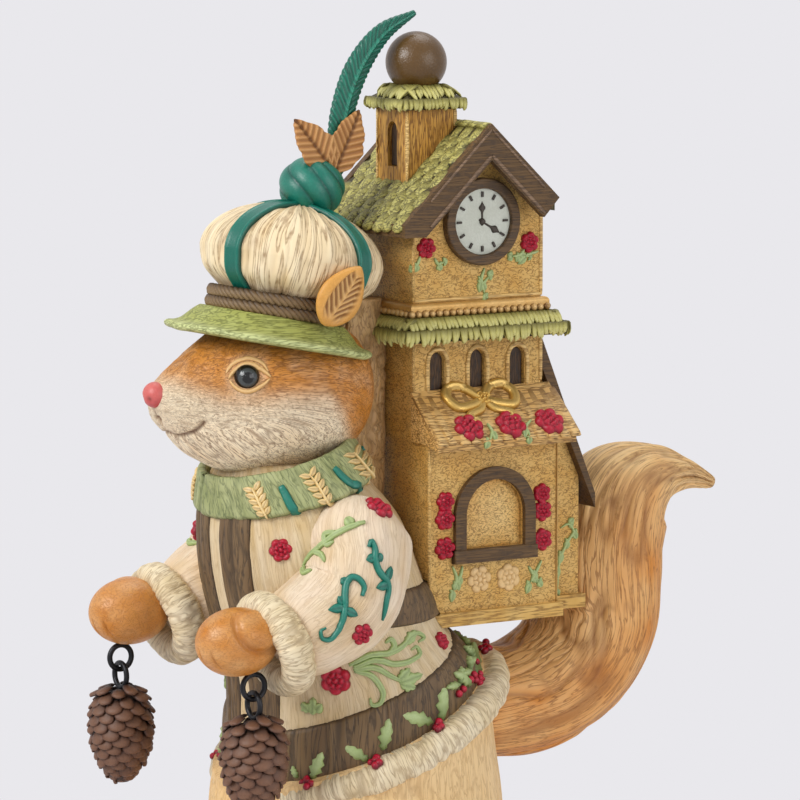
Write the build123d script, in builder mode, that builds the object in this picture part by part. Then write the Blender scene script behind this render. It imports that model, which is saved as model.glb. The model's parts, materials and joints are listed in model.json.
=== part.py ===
"""Squirrel figurine with a clock house on its back and two hanging pine cones.

The squirrel faces -Y, its left side is +X and +Z is up. The origin is on the
floor under the axis of the body. All sizes are millimetres.
"""

import math
import os

from build123d import *

os.makedirs("parts", exist_ok=True)

# Felt under the base
felt_thickness = 1.5
felt_inset = 3.0

# Hem: the lower edge of the coat is one slanted plane, low in front
hem_height = 100.0
hem_slope = 24.0

# Lower body, below the hem
lower_half_width = 60.0
lower_half_depth = 59.0
lower_height = 128.0
lower_section_shares = [
    (0.0, 0.84, 0.80),
    (0.07, 0.93, 0.90),
    (0.25, 0.99, 0.98),
    (0.50, 1.0, 1.0),
    (0.66, 0.96, 0.955),
    (0.80, 0.93, 0.91),
    (1.0, 0.86, 0.84),
]

# Feet
foot_spread = 25.0
foot_length = 52.0
foot_half_width = 18.0
foot_height = 25.0
foot_heel_y = -34.0
foot_section_shares = [
    (0.0, 0.70, 0.95),
    (0.35, 0.90, 1.0),
    (0.70, 1.0, 0.85),
    (0.90, 0.86, 0.62),
    (1.0, 0.52, 0.34),
]

# Fur trim and ornament band at the hem
fur_outer_radius = 64.0
fur_inner_radius = 48.0
fur_drop = 11.5
fur_edge_radius = 5.0
band_height = 20.0
band_thickness = 1.8

# Coat, from the hem to the neck
coat_half_width = 54.0
coat_half_depth = 51.0
coat_rise = 106.0
coat_lean = 34.0
coat_skirt_drop = 34.0
coat_section_shares = [
    (0.0, 0.0, 1.0, 1.0),
    (0.17, 0.04, 0.98, 0.99),
    (0.36, 0.38, 0.93, 0.88),
    (0.60, 0.65, 0.89, 0.82),
    (0.80, 0.80, 0.80, 0.74),
    (0.93, 0.94, 0.62, 0.60),
    (1.0, 1.0, 0.48, 0.50),
]
placket_inner = 4.0
placket_outer = 20.5
placket_thickness = 1.2
strap_bottom = 143.0
strap_height = 14.0
strap_thickness = 2.0
strap_front_y = -30.0

# Collar
collar_centre_y = -33.0
collar_bottom_z = 193.0
collar_slope = 15.5
collar_depth = 17.0
collar_half_width = 42.0
collar_half_depth = 35.5
collar_neck_half_width = 31.0
collar_neck_half_depth = 30.0
collar_bulge_share = 0.88

# Head
head_length = 94.0
head_back_y = 2.0
head_centre_z = 232.0
head_half_width = 31.0
head_half_height = 31.0
head_section_shares = [
    (0.0, 0.06, 0.36, 0.38),
    (0.05, 0.05, 0.60, 0.62),
    (0.15, 0.03, 0.84, 0.86),
    (0.30, 0.01, 0.98, 0.98),
    (0.48, 0.0, 1.0, 1.0),
    (0.66, -0.03, 0.90, 0.93),
    (0.78, -0.05, 0.70, 0.74),
    (0.89, -0.03, 0.48, 0.50),
    (0.97, 0.02, 0.27, 0.27),
    (1.0, 0.05, 0.15, 0.15),
]
eye_radius = 5.2
eye_y = -64.0
eye_z = 242.0
eye_x = 20.6
nose_radius = 5.2
nose_y = -91.5
nose_z = 235.0

# Hat, on its own axis: the brim is raised in front
hat_y = -39.5
hat_z = 252.0
hat_tilt = 11.0
brim_half_width = 38.0
brim_half_depth = 43.0
brim_offset = 1.0
brim_edge = 3.2
brim_rise = 8.0
crown_foot_radius = 26.0
rope_strand = 4.3
rope_radius = 25.6
crown_radius = 36.0
crown_height = 36.0
crown_back = 3.5
crown_belly_share = 0.42
crown_dome_share = 0.93
ribbon_count = 4
ribbon_width = 7.0
ribbon_thickness = 1.0
ribbon_turn = 20.0
knot_radius = 13.0
knot_height = 24.0
knot_back = 7.5
knot_sink = 4.0

# Plume behind the knot
plume_half_width = 5.6
plume_half_thickness = 3.0
plume_reach = 40.0
plume_rise = 68.0
plume_root_y = -12.0
plume_root_z = 314.0
plume_section_shares = [
    (0.0, 0.0, 0.80, 0.8),
    (0.10, 0.20, 0.95, 1.0),
    (0.16, 0.42, 1.0, 1.0),
    (0.33, 0.67, 1.0, 1.0),
    (0.62, 0.87, 0.74, 0.85),
    (1.0, 0.985, 0.22, 0.4),
]

# Autumn leaves beside the knot
hat_leaf_length = 27.0
hat_leaf_width = 15.0
hat_leaf_thickness = 2.4
hat_leaf_y = -13.0
hat_leaf_z = 319.0
hat_leaf_spread = 5.0
hat_leaf_front_turn = 128.0
hat_leaf_back_turn = 62.0

# Ears
ear_height = 27.0
ear_width = 20.0
ear_thickness = 8.0
ear_x = 35.0
ear_y = -36.0
ear_z = 262.5
ear_lean = 33.0
ear_flare = 10.0

# Arms
shoulder_point = (38.0, -22.0, 179.0)
elbow_point = (44.0, -30.0, 158.0)
forearm_point = (43.5, -44.0, 147.0)
wrist_point = (42.5, -56.0, 142.5)
shoulder_radius = 20.0
elbow_radius = 21.0
forearm_radius = 20.0
wrist_radius = 17.0
cuff_radius = 22.0
cuff_width = 14.0
cuff_edge = 6.0
paw_x = 43.0
paw_y = -80.0
paw_z = 142.5
paw_half_length = 17.0
paw_radius = 13.4

# Screw eyes and hanging cones
wire = 2.2
eye_ring_radius = 4.9
eye_shank = 9.0
ring_clearance = 0.3
left_eye_back = 7.5
right_eye_back = -4.0
cone_radius = 13.5
cone_height = 38.0
cone_neck_radius = 5.0
cone_tip_radius = 4.0
cone_belly_share = 0.56

# Tail
tail_root_y = 38.0
tail_root_z = 98.0
tail_reach = 137.0
tail_rise = 88.0
tail_half_width = 29.0
tail_half_thickness = 26.0
tail_path_shares = [
    (0.0, 0.0, 0.76, 0.81),
    (0.175, 0.0, 0.90, 0.88),
    (0.35, 0.03, 0.97, 0.94),
    (0.485, 0.15, 1.0, 0.98),
    (0.565, 0.34, 1.0, 1.0),
    (0.585, 0.55, 0.97, 1.0),
    (0.605, 0.74, 0.93, 0.96),
    (0.665, 0.93, 0.82, 0.88),
    (0.78, 1.01, 0.58, 0.52),
    (0.89, 1.0, 0.31, 0.27),
    (1.0, 0.943, 0.10, 0.10),
]

# House: storeys stacked from the ledge up
house_front_y = 12.5
tower_depth = 60.5
tower_half_width = 24.0
ledge_bottom = 138.0
ledge_thickness = 5.5
ledge_overhang = 2.2
lower_storey_half_width = 33.6
lower_storey_depth = 60.5
lower_storey_offset = 1.5
lower_storey_height = 68.5
mid_storey_height = 40.0
fringe_height = 9.0
fringe_overhang = 7.5
bead_height = 6.0
bead_overhang = 2.6
upper_wall_height = 36.8
roof_pitch = 43.5
roof_thickness = 4.0
roof_front_overhang = 10.5
roof_back_overhang = 2.0
roof_half_length = 31.0
front_courses = 7
back_courses = 6
shingle_step = 1.3
barge_width = 10.5
barge_thickness = 3.5
fascia_height = 5.0
fascia_thickness = 2.0
apron_reach = 10.5
apron_rise = 20.0
apron_thickness = 4.5
apron_end_overhang = 2.6

# Arched window on each side of the lower storey
window_width = 38.0
window_height = 37.5
window_sill_z = 163.5
window_frame = 5.0
window_relief = 2.2
window_recess = 2.0

# Slot windows of the tower
slot_width = 7.0
slot_height = 16.0
slot_recess = 2.2
slot_spacing = 19.0

# Clock on each gable
clock_radius = 17.5
clock_dial_radius = 13.2
clock_relief = 3.4
clock_dial_relief = 1.6
clock_y_shift = 1.0
clock_below_apex = 39.5
hand_thickness = 0.7
hand_width = 1.5
hour_hand = 7.5
minute_hand = 9.3
minute_turn = 30.0
hand_hub_radius = 1.7
hour_mark_length = 2.2
hour_mark_width = 0.9
hour_mark_inset = 2.3

# Cupola and ball
cupola_side = 22.5
cupola_front_gap = 5.1
cupola_top = 343.0
cupola_roof_side = 27.5
cupola_roof_top_side = 13.0
cupola_eave = 4.0
cupola_roof_rise = 9.0
cupola_slot_height = 18.0
cupola_slot_width = 7.0
cupola_slot_drop = 5.0
ball_radius = 12.3
ball_sink = 3.0

# Back bay with its steep roof board
bay_half_width = 20.0
bay_depth = 20.0
bay_roof_half_width = 24.0
bay_roof_reach = 27.0
bay_roof_drop = 67.0
bay_roof_thickness = 4.5

# Relief roses and bow
apron_rose_radius = 6.6
wall_rose_radius = 5.0
gable_rose_radius = 4.6
rose_height_share = 0.64
rose_core_share = 0.5
rose_tier_share = 0.62
apron_rose_spacing = 18.5
wall_rose_reach = 23.2
wall_rose_low = 6.1
wall_rose_high = 20.2
gable_rose_reach = 24.5
gable_rose_height = 22.0
bow_knot_radius = 3.6
bow_loop_length = 13.0
bow_loop_radius = 4.4
bow_tail_length = 15.0
bow_tail_width = 3.4
bow_tail_turn = 35.0

# One overrun serves every cut and every piece that is trimmed by its neighbour
overrun = 30.0


def ellipse_stack(sections):
    """Loft through ellipses, each given as its plane and two half sizes."""
    with BuildPart() as stack:
        for plane, half_x, half_y in sections:
            with BuildSketch(plane):
                Ellipse(half_x, half_y)
        loft()
    return stack.part


def block(low, high):
    """Box between two opposite corners."""
    with BuildPart() as box:
        with Locations(tuple((a + b) / 2 for a, b in zip(low, high))):
            Box(*(b - a for a, b in zip(low, high)))
    return box.part


def path_sections(points, halves):
    """Planes square to a path at its points, for ellipse_stack."""
    vectors = [Vector(*point) for point in points]
    sections = []
    for index, point in enumerate(vectors):
        before = vectors[max(index - 1, 0)]
        after = vectors[min(index + 1, len(vectors) - 1)]
        along = (after - before).normalized()
        side = Vector(1, 0, 0)
        side = (side - along * side.dot(along)).normalized()
        sections.append((Plane(origin=point, x_dir=side, z_dir=along), *halves[index]))
    return sections


def turned(plane, turn):
    """The plane turned about its own normal, in degrees."""
    return plane.moved(Rotation(0, 0, turn))


def finish(builder, name):
    """Label a finished piece and write it."""
    builder.part.label = name
    export_step(builder.part, f"parts/{name}.step")


hem_plane = Plane(
    origin=(0, 0, hem_height),
    x_dir=(1, 0, 0),
    z_dir=(0, -math.sin(math.radians(hem_slope)), math.cos(math.radians(hem_slope))),
)


# Lower body and feet
lower_stack = ellipse_stack(
    [
        (
            Plane.XY.offset(felt_thickness + lower_height * up),
            lower_half_width * wide,
            lower_half_depth * deep,
        )
        for up, wide, deep in lower_section_shares
    ]
)
with BuildPart() as lower_body:
    add(lower_stack)
    split(bisect_by=hem_plane, keep=Keep.BOTTOM)

with BuildPart() as left_foot:
    for along, wide, high in foot_section_shares:
        foot_plane = Plane(
            origin=(foot_spread, foot_heel_y - foot_length * along, felt_thickness),
            x_dir=(1, 0, 0),
            z_dir=(0, -1, 0),
        )
        with BuildSketch(foot_plane):
            Ellipse(foot_half_width * wide, foot_height * high)
    loft()
    split(bisect_by=Plane.XY.offset(felt_thickness), keep=Keep.TOP)
    add(lower_body.part, mode=Mode.SUBTRACT)
with BuildPart() as right_foot:
    mirror(left_foot.part, about=Plane.YZ)

with BuildPart() as base_felt:
    with BuildSketch():
        Ellipse(
            lower_half_width * lower_section_shares[0][1] - felt_inset,
            lower_half_depth * lower_section_shares[0][2] - felt_inset,
        )
        with Locations((foot_spread, foot_heel_y), (-foot_spread, foot_heel_y)):
            Ellipse(foot_half_width * foot_section_shares[1][1] - felt_inset, foot_length * 0.8)
    extrude(amount=felt_thickness)

# Fur trim hangs under the hem plane
with BuildPart() as hem_fur_trim:
    with BuildSketch(Plane(origin=hem_plane.origin, x_dir=(1, 0, 0), z_dir=hem_plane.y_dir * -1)):
        with Locations(((fur_outer_radius + fur_inner_radius) / 2, -fur_drop / 2)):
            RectangleRounded(fur_outer_radius - fur_inner_radius, fur_drop, fur_edge_radius)
    revolve(axis=Axis(hem_plane.origin, hem_plane.z_dir))
    add(lower_body.part, mode=Mode.SUBTRACT)


# Head, cut flat under the hat
head_stack = ellipse_stack(
    [
        (
            Plane(
                origin=(0, head_back_y - head_length * along, head_centre_z + head_half_height * up),
                x_dir=(1, 0, 0),
                z_dir=(0, -1, 0),
            ),
            head_half_width * wide,
            head_half_height * high,
        )
        for along, up, wide, high in head_section_shares
    ]
)
hat_plane = Plane(
    origin=(0, hat_y, hat_z),
    x_dir=(1, 0, 0),
    z_dir=(0, math.sin(math.radians(hat_tilt)), math.cos(math.radians(hat_tilt))),
)
with BuildPart() as head:
    add(head_stack)
    split(bisect_by=hat_plane, keep=Keep.BOTTOM)
with BuildPart() as left_eye:
    with Locations((eye_x, eye_y, eye_z)):
        Sphere(eye_radius)
    add(head.part, mode=Mode.SUBTRACT)
with BuildPart() as right_eye:
    mirror(left_eye.part, about=Plane.YZ)
with BuildPart() as nose:
    with Locations((0, nose_y, nose_z)):
        Sphere(nose_radius)
    add(head.part, mode=Mode.SUBTRACT)


# Coat and what lies on it
def coat_stack(extra):
    """The coat's outer form, grown by extra all round."""
    foot_z = hem_height - coat_skirt_drop
    sections = [(Plane.XY.offset(foot_z), coat_half_width + extra, coat_half_depth + extra)]
    for up, forward, wide, deep in coat_section_shares:
        plane = Plane(origin=(0, -coat_lean * forward, hem_height + coat_rise * up))
        sections.append((plane, coat_half_width * wide + extra, coat_half_depth * deep + extra))
    return ellipse_stack(sections)


with BuildPart() as coat_body:
    add(coat_stack(0))
    split(bisect_by=hem_plane, keep=Keep.TOP)
    add(head.part, mode=Mode.SUBTRACT)

with BuildPart() as hem_band:
    add(coat_stack(band_thickness))
    split(bisect_by=hem_plane, keep=Keep.TOP)
    split(bisect_by=hem_plane.offset(band_height), keep=Keep.BOTTOM)
    add(coat_body.part, mode=Mode.SUBTRACT)

collar_plane = Plane(
    origin=(0, collar_centre_y, collar_bottom_z),
    x_dir=(1, 0, 0),
    z_dir=(0, -math.sin(math.radians(collar_slope)), math.cos(math.radians(collar_slope))),
)
with BuildPart() as scarf_collar:
    add(
        ellipse_stack(
            [
                (collar_plane, collar_half_width, collar_half_depth),
                (
                    collar_plane.offset(collar_depth / 2),
                    (collar_half_width + collar_neck_half_width * collar_bulge_share) / 2,
                    (collar_half_depth + collar_neck_half_depth * collar_bulge_share) / 2,
                ),
                (collar_plane.offset(collar_depth), collar_neck_half_width, collar_neck_half_depth),
            ]
        )
    )
    add(coat_body.part, mode=Mode.SUBTRACT)
    add(head.part, mode=Mode.SUBTRACT)

coat_front = -coat_half_depth - coat_lean - overrun
coat_top = hem_height + coat_rise + overrun
placket_bars = [
    block((low, coat_front, 0), (low + placket_outer - placket_inner, -coat_lean / 2, coat_top))
    for low in (placket_inner, -placket_outer)
]
with BuildPart() as coat_front_bands:
    add(coat_stack(placket_thickness))
    split(bisect_by=hem_plane.offset(band_height), keep=Keep.TOP)
    split(bisect_by=collar_plane, keep=Keep.BOTTOM)
    add(coat_stack(0), mode=Mode.SUBTRACT)
    add(placket_bars, mode=Mode.INTERSECT)

with BuildPart() as waist_strap:
    add(coat_stack(strap_thickness))
    split(bisect_by=Plane.XY.offset(strap_bottom), keep=Keep.TOP)
    split(bisect_by=Plane.XY.offset(strap_bottom + strap_height), keep=Keep.BOTTOM)
    split(bisect_by=Plane.XZ.offset(-strap_front_y), keep=Keep.BOTTOM)
    add(coat_body.part, mode=Mode.SUBTRACT)


def leaf_blank(length, width, thickness):
    """Leaf with two arc edges, its stem at the origin and its tip along x."""
    with BuildPart() as leaf:
        with BuildSketch():
            with BuildLine():
                ThreePointArc((0, 0), (length / 2, width / 2), (length, 0))
                ThreePointArc((length, 0), (length / 2, -width / 2), (0, 0))
            make_face()
        extrude(amount=thickness, both=True)
    return leaf.part


# Hat: brim, rope, crown, ribbons, knot, plume, leaves
rope_bottom = brim_edge + brim_rise
crown_bottom = rope_bottom + 2 * rope_strand
with BuildPart() as hat_brim:
    with BuildSketch(hat_plane):
        with Locations((0, -brim_offset)):
            Ellipse(brim_half_width, brim_half_depth)
    extrude(amount=brim_edge)
    fillet(hat_brim.edges(), brim_edge * 0.45)
    with BuildSketch(hat_plane.offset(brim_edge / 2)):
        with Locations((0, -brim_offset)):
            Ellipse(brim_half_width - brim_edge, brim_half_depth - brim_edge)
    with BuildSketch(hat_plane.offset(rope_bottom)):
        Circle(crown_foot_radius)
    loft()

with BuildPart() as hat_rope_band:
    for strand in range(2):
        with Locations(hat_plane.offset(rope_bottom + rope_strand * (strand + 0.5))):
            Torus(rope_radius, rope_strand / 2)
    with Locations(hat_plane.offset(rope_bottom)):
        Cylinder(rope_radius, 2 * rope_strand, align=(Align.CENTER, Align.CENTER, Align.MIN))


def crown_profile(extra):
    """Half outline of the crown, in the hat's plane of symmetry, grown by extra."""
    middle = crown_bottom + crown_height * crown_belly_share
    radius = crown_radius + extra
    foot = crown_foot_radius + extra
    low = (foot + (radius - foot) * 0.8, (crown_bottom + middle) / 2)
    top = crown_bottom + crown_height + extra
    with BuildSketch() as profile:
        with BuildLine():
            ThreePointArc((foot, crown_bottom), low, (radius, middle))
            dome = EllipticalCenterArc((0, middle), radius, top - middle, arc_size=90 * crown_dome_share)
            Line(dome @ 1, (0, (dome @ 1).Y))
            Line((0, (dome @ 1).Y), (0, crown_bottom))
            Line((0, crown_bottom), (foot, crown_bottom))
        make_face()
    return profile.sketch


def spun(profile, plane):
    """Solid of a half outline turned about a plane's normal through its origin."""
    with BuildPart() as turning:
        with BuildSketch(Plane.XZ):
            add(profile)
        revolve(axis=Axis.Z)
    return plane.location * turning.part


crown_plane = Plane(
    origin=hat_plane.origin + hat_plane.y_dir * crown_back,
    x_dir=(1, 0, 0),
    z_dir=hat_plane.z_dir,
)
with BuildPart() as hat_crown:
    add(spun(crown_profile(0), crown_plane))
with BuildPart() as ribbon_shell:
    add(spun(crown_profile(ribbon_thickness), crown_plane))
    add(hat_crown.part, mode=Mode.SUBTRACT)
ribbon_bars = [
    crown_plane.location
    * Rotation(0, 0, ribbon_turn + 360 * index / ribbon_count)
    * Pos(crown_radius, 0, crown_bottom + crown_height / 2)
    * Box(2 * crown_radius, ribbon_width, 2 * crown_height)
    for index in range(ribbon_count)
]
with BuildPart() as hat_ribbons:
    add(ribbon_shell.part)
    add(ribbon_bars, mode=Mode.INTERSECT)

knot_middle = crown_bottom + crown_height + knot_height / 2 - knot_sink
knot_centre = hat_plane.origin + hat_plane.y_dir * knot_back + hat_plane.z_dir * knot_middle
with BuildPart() as knot_blank:
    Sphere(knot_radius)
    scale(by=(1, 1, knot_height / 2 / knot_radius))
knot_plane = Plane(origin=knot_centre, x_dir=(1, 0, 0), z_dir=hat_plane.z_dir)
with BuildPart() as hat_knot:
    add(knot_plane.location * knot_blank.part)
    add(hat_crown.part, mode=Mode.SUBTRACT)
    add(hat_ribbons.part, mode=Mode.SUBTRACT)

plume_points = [
    (0, plume_root_y + plume_reach * back, plume_root_z + plume_rise * up)
    for back, up, wide, thick in plume_section_shares
]
plume_halves = [
    (plume_half_thickness * thick, plume_half_width * wide)
    for back, up, wide, thick in plume_section_shares
]
with BuildPart() as plume:
    add(ellipse_stack(path_sections(plume_points, plume_halves)))
    add(hat_knot.part, mode=Mode.SUBTRACT)

autumn_leaf = leaf_blank(hat_leaf_length, hat_leaf_width, hat_leaf_thickness / 2)
with BuildPart() as hat_leaves:
    for side, turn in ((hat_leaf_spread, hat_leaf_front_turn), (hat_leaf_spread, hat_leaf_back_turn)):
        leaf_plane = Plane(origin=(side, hat_leaf_y, hat_leaf_z), x_dir=(0, 1, 0), z_dir=(1, 0, 0))
        add(turned(leaf_plane, turn).location * autumn_leaf)
    add(hat_knot.part, mode=Mode.SUBTRACT)
    add(plume.part, mode=Mode.SUBTRACT)


# Ears stand on the brim beside the crown
ear_upright = Plane(origin=(ear_x, ear_y, ear_z), x_dir=(0, 1, 0), z_dir=(1, 0, 0))
ear_plane = turned(ear_upright.moved(Rotation(ear_flare, 0, 0)), -ear_lean)
with BuildPart() as left_ear:
    with BuildSketch(ear_plane):
        with BuildLine():
            ThreePointArc((0, 0), (-ear_width / 2, ear_height * 0.42), (0, ear_height))
            ThreePointArc((0, ear_height), (ear_width / 2, ear_height * 0.42), (0, 0))
        make_face()
    extrude(amount=ear_thickness / 2, both=True)
    fillet(left_ear.faces().sort_by(Axis(ear_plane.origin, ear_plane.z_dir))[-1].edges(), ear_thickness / 4)
    for neighbour in (hat_brim, hat_crown, hat_rope_band, hat_ribbons, head):
        add(neighbour.part, mode=Mode.SUBTRACT)
with BuildPart() as right_ear:
    mirror(left_ear.part, about=Plane.YZ)


# Arms
arm_points = [shoulder_point, elbow_point, forearm_point, wrist_point]
arm_radii = [shoulder_radius, elbow_radius, forearm_radius, wrist_radius]
arm_axis = (Vector(*wrist_point) - Vector(*forearm_point)).normalized()
cuff_plane = Plane(
    origin=Vector(*wrist_point),
    x_dir=(1, 0, 0),
    z_dir=arm_axis - Vector(arm_axis.X, 0, 0),
)
with BuildPart() as left_cuff:
    with BuildSketch(cuff_plane):
        Circle(cuff_radius)
    extrude(amount=cuff_width)
    fillet(left_cuff.edges(), cuff_edge)
with BuildPart() as left_sleeve:
    add(ellipse_stack(path_sections(arm_points, [(radius, radius) for radius in arm_radii])))
    with Locations(shoulder_point):
        Sphere(shoulder_radius)
    for neighbour in (coat_body, waist_strap, scarf_collar, left_cuff, head, hem_band):
        add(neighbour.part, mode=Mode.SUBTRACT)



def screw_eye(centre, ring_normal, rise):
    """Wire ring with a straight shank that leaves it upwards, rise 1, or downwards, rise -1."""
    foot = Align.MIN if rise > 0 else Align.MAX
    with BuildPart() as wire_eye:
        with Locations(Plane(origin=centre, x_dir=(0, 0, 1), z_dir=ring_normal)):
            Torus(eye_ring_radius, wire / 2)
        with Locations(centre + Vector(0, 0, rise * eye_ring_radius)):
            Cylinder(wire / 2, eye_shank, align=(Align.CENTER, Align.CENTER, foot))
    return wire_eye.part


def hanging_cone(top):
    """Pine cone that hangs from the middle of its flat neck."""
    belly = cone_height * (1 - cone_belly_share)
    with BuildPart() as cone:
        with BuildSketch(Plane(origin=top, x_dir=(1, 0, 0), z_dir=(0, -1, 0))):
            with BuildLine():
                Line((0, 0), (cone_neck_radius, 0))
                Spline(
                    (cone_neck_radius, 0),
                    (cone_radius * 0.93, -belly * 0.6),
                    (cone_radius, -belly),
                    (cone_radius * 0.74, -cone_height * 0.8),
                    (cone_tip_radius, -cone_height),
                )
                Line((cone_tip_radius, -cone_height), (0, -cone_height))
                Line((0, -cone_height), (0, 0))
            make_face()
        revolve(axis=Axis(top, (0, 0, 1)))
    return cone.part


# The cone's eye hangs in the paw's eye, wire over wire, with a running gap
paw_ring_z = paw_z - paw_radius - eye_ring_radius
cone_ring_z = paw_ring_z - 2 * eye_ring_radius + wire + ring_clearance
cone_top_z = cone_ring_z - eye_ring_radius - wire / 2
with BuildPart() as left_paw_eye:
    add(screw_eye(Vector(paw_x, paw_y + left_eye_back, paw_ring_z), (1, 0, 0), 1))
with BuildPart() as right_paw_eye:
    add(screw_eye(Vector(-paw_x, paw_y + right_eye_back, paw_ring_z), (1, 0, 0), 1))
with BuildPart() as left_cone_eye:
    add(screw_eye(Vector(paw_x, paw_y + left_eye_back, cone_ring_z), (0, 1, 0), -1))
with BuildPart() as right_cone_eye:
    add(screw_eye(Vector(-paw_x, paw_y + right_eye_back, cone_ring_z), (0, 1, 0), -1))
with BuildPart() as left_cone:
    add(hanging_cone(Vector(paw_x, paw_y + left_eye_back, cone_top_z)))
    add(left_cone_eye.part, mode=Mode.SUBTRACT)
with BuildPart() as right_cone:
    add(hanging_cone(Vector(-paw_x, paw_y + right_eye_back, cone_top_z)))
    add(right_cone_eye.part, mode=Mode.SUBTRACT)

with BuildPart() as paw_blank:
    with BuildSketch(Plane(origin=(paw_x, paw_y, paw_z), x_dir=(0, -1, 0), z_dir=(1, 0, 0))):
        Ellipse(paw_half_length, paw_radius)
        Rectangle(2 * paw_half_length, paw_radius, align=(Align.CENTER, Align.MAX), mode=Mode.SUBTRACT)
    revolve(axis=Axis((paw_x, paw_y, paw_z), (0, 1, 0)))
    add(left_cuff.part, mode=Mode.SUBTRACT)
with BuildPart() as left_paw:
    add(paw_blank.part)
    add(left_paw_eye.part, mode=Mode.SUBTRACT)
with BuildPart() as right_paw:
    mirror(paw_blank.part, about=Plane.YZ)
    add(right_paw_eye.part, mode=Mode.SUBTRACT)


# Tail
tail_points = [
    (0, tail_root_y + tail_reach * back, tail_root_z + tail_rise * up)
    for back, up, wide, thick in tail_path_shares
]
tail_halves = [
    (tail_half_width * wide, tail_half_thickness * thick) for back, up, wide, thick in tail_path_shares
]
with BuildPart() as tail:
    add(ellipse_stack(path_sections(tail_points, tail_halves)))
    for neighbour in (lower_body, hem_fur_trim, coat_body, hem_band):
        add(neighbour.part, mode=Mode.SUBTRACT)


# House storeys, stacked on the ledge
left_wall = Plane(origin=(0, 0, 0), x_dir=(0, 1, 0), z_dir=(1, 0, 0))
tower_middle_y = house_front_y + tower_depth / 2
lower_front_y = house_front_y + lower_storey_offset
lower_back_y = lower_front_y + lower_storey_depth
lower_bottom = ledge_bottom + ledge_thickness
mid_bottom = lower_bottom + lower_storey_height
fringe_bottom = mid_bottom + mid_storey_height
bead_bottom = fringe_bottom + fringe_height
upper_bottom = bead_bottom + bead_height
roof_slant = math.tan(math.radians(roof_pitch))
roof_drop = roof_thickness / math.cos(math.radians(roof_pitch))
gable_apex_z = upper_bottom + upper_wall_height + roof_slant * tower_depth / 2
roof_apex_z = gable_apex_z + roof_drop


def storey(half_width, front, back, bottom, top):
    """Block of the house between two heights, centred on x = 0."""
    return block((-half_width, front, bottom), (half_width, back, top))


def both_sides(piece):
    """A piece on the left side and its mirror on the right side."""
    return [piece, mirror(piece, about=Plane.YZ)]


with BuildPart() as house_ledge:
    add(
        storey(
            lower_storey_half_width + ledge_overhang,
            lower_front_y - ledge_overhang,
            lower_back_y + ledge_overhang,
            ledge_bottom,
            lower_bottom,
        )
    )
    add(
        storey(
            bay_half_width + ledge_overhang,
            lower_back_y,
            lower_back_y + bay_depth + ledge_overhang,
            ledge_bottom,
            lower_bottom,
        )
    )
    for neighbour in (coat_body, waist_strap, tail):
        add(neighbour.part, mode=Mode.SUBTRACT)


def arch_outline(width, height):
    """Sketch on the left wall of an arched opening, its sill at the origin."""
    with BuildSketch() as outline:
        with BuildLine():
            Line((-width / 2, height - width / 2), (-width / 2, 0))
            Line((-width / 2, 0), (width / 2, 0))
            Line((width / 2, 0), (width / 2, height - width / 2))
            ThreePointArc((width / 2, height - width / 2), (0, height), (-width / 2, height - width / 2))
        make_face()
    return outline.sketch


window_spot = Plane(
    origin=(lower_storey_half_width, (lower_front_y + lower_back_y) / 2, window_sill_z),
    x_dir=(0, 1, 0),
    z_dir=(1, 0, 0),
)
inner_width = window_width - 2 * window_frame
inner_height = window_height - 2 * window_frame
with BuildPart() as left_window_panel:
    with BuildSketch(window_spot.moved(Pos(0, window_frame, -window_recess))):
        add(arch_outline(inner_width, inner_height))
    extrude(amount=window_recess)
with BuildPart() as left_window:
    with BuildSketch(window_spot):
        add(arch_outline(window_width, window_height))
        with Locations((0, window_frame)):
            add(arch_outline(inner_width, inner_height), mode=Mode.SUBTRACT)
    extrude(amount=window_relief)
with BuildPart() as window_frames:
    add(both_sides(left_window.part))

with BuildPart() as lower_storey:
    add(storey(lower_storey_half_width, lower_front_y, lower_back_y, lower_bottom, mid_bottom))
    add(both_sides(left_window_panel.part), mode=Mode.SUBTRACT)
    add(coat_body.part, mode=Mode.SUBTRACT)
    add(waist_strap.part, mode=Mode.SUBTRACT)

slot_spots = [
    Plane(
        origin=(tower_half_width - slot_recess, tower_middle_y + slot_spacing * index, fringe_bottom - slot_height * 1.3),
        x_dir=(0, 1, 0),
        z_dir=(1, 0, 0),
    )
    for index in (-1, 0, 1)
]
with BuildPart() as slot_cuts:
    for spot in slot_spots:
        with BuildSketch(spot):
            add(arch_outline(slot_width, slot_height))
    extrude(amount=slot_recess)
with BuildPart() as mid_storey:
    add(storey(tower_half_width, house_front_y, house_front_y + tower_depth, mid_bottom, fringe_bottom))
    add(both_sides(slot_cuts.part), mode=Mode.SUBTRACT)

with BuildPart() as fringe_roof:
    fringe_sections = (
        (0, fringe_overhang),
        (fringe_height * 0.45, fringe_overhang),
        (fringe_height, bead_overhang),
    )
    for up, overhang in fringe_sections:
        with BuildSketch(Plane(origin=(0, tower_middle_y, fringe_bottom + up))):
            Rectangle(2 * (tower_half_width + overhang), tower_depth + 2 * overhang)
    loft(ruled=True)
    add(hat_brim.part, mode=Mode.SUBTRACT)

with BuildPart() as bead_course:
    add(
        storey(
            tower_half_width + bead_overhang,
            house_front_y - bead_overhang,
            house_front_y + tower_depth + bead_overhang,
            bead_bottom,
            upper_bottom,
        )
    )
    fillet(bead_course.edges().filter_by(Axis.Z, reverse=True), bead_height * 0.3)


# Upper storey: walls and gables in one outline seen from the side
def eave_y(side, reach):
    """Where a slope of the roof ends, reach outside the wall on side -1 or 1."""
    return tower_middle_y + side * (tower_depth / 2 + reach)


def slope_z(apex, y):
    """Height at y of a slope that falls from an apex over the middle of the tower."""
    return apex - roof_slant * abs(y - tower_middle_y)


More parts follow.
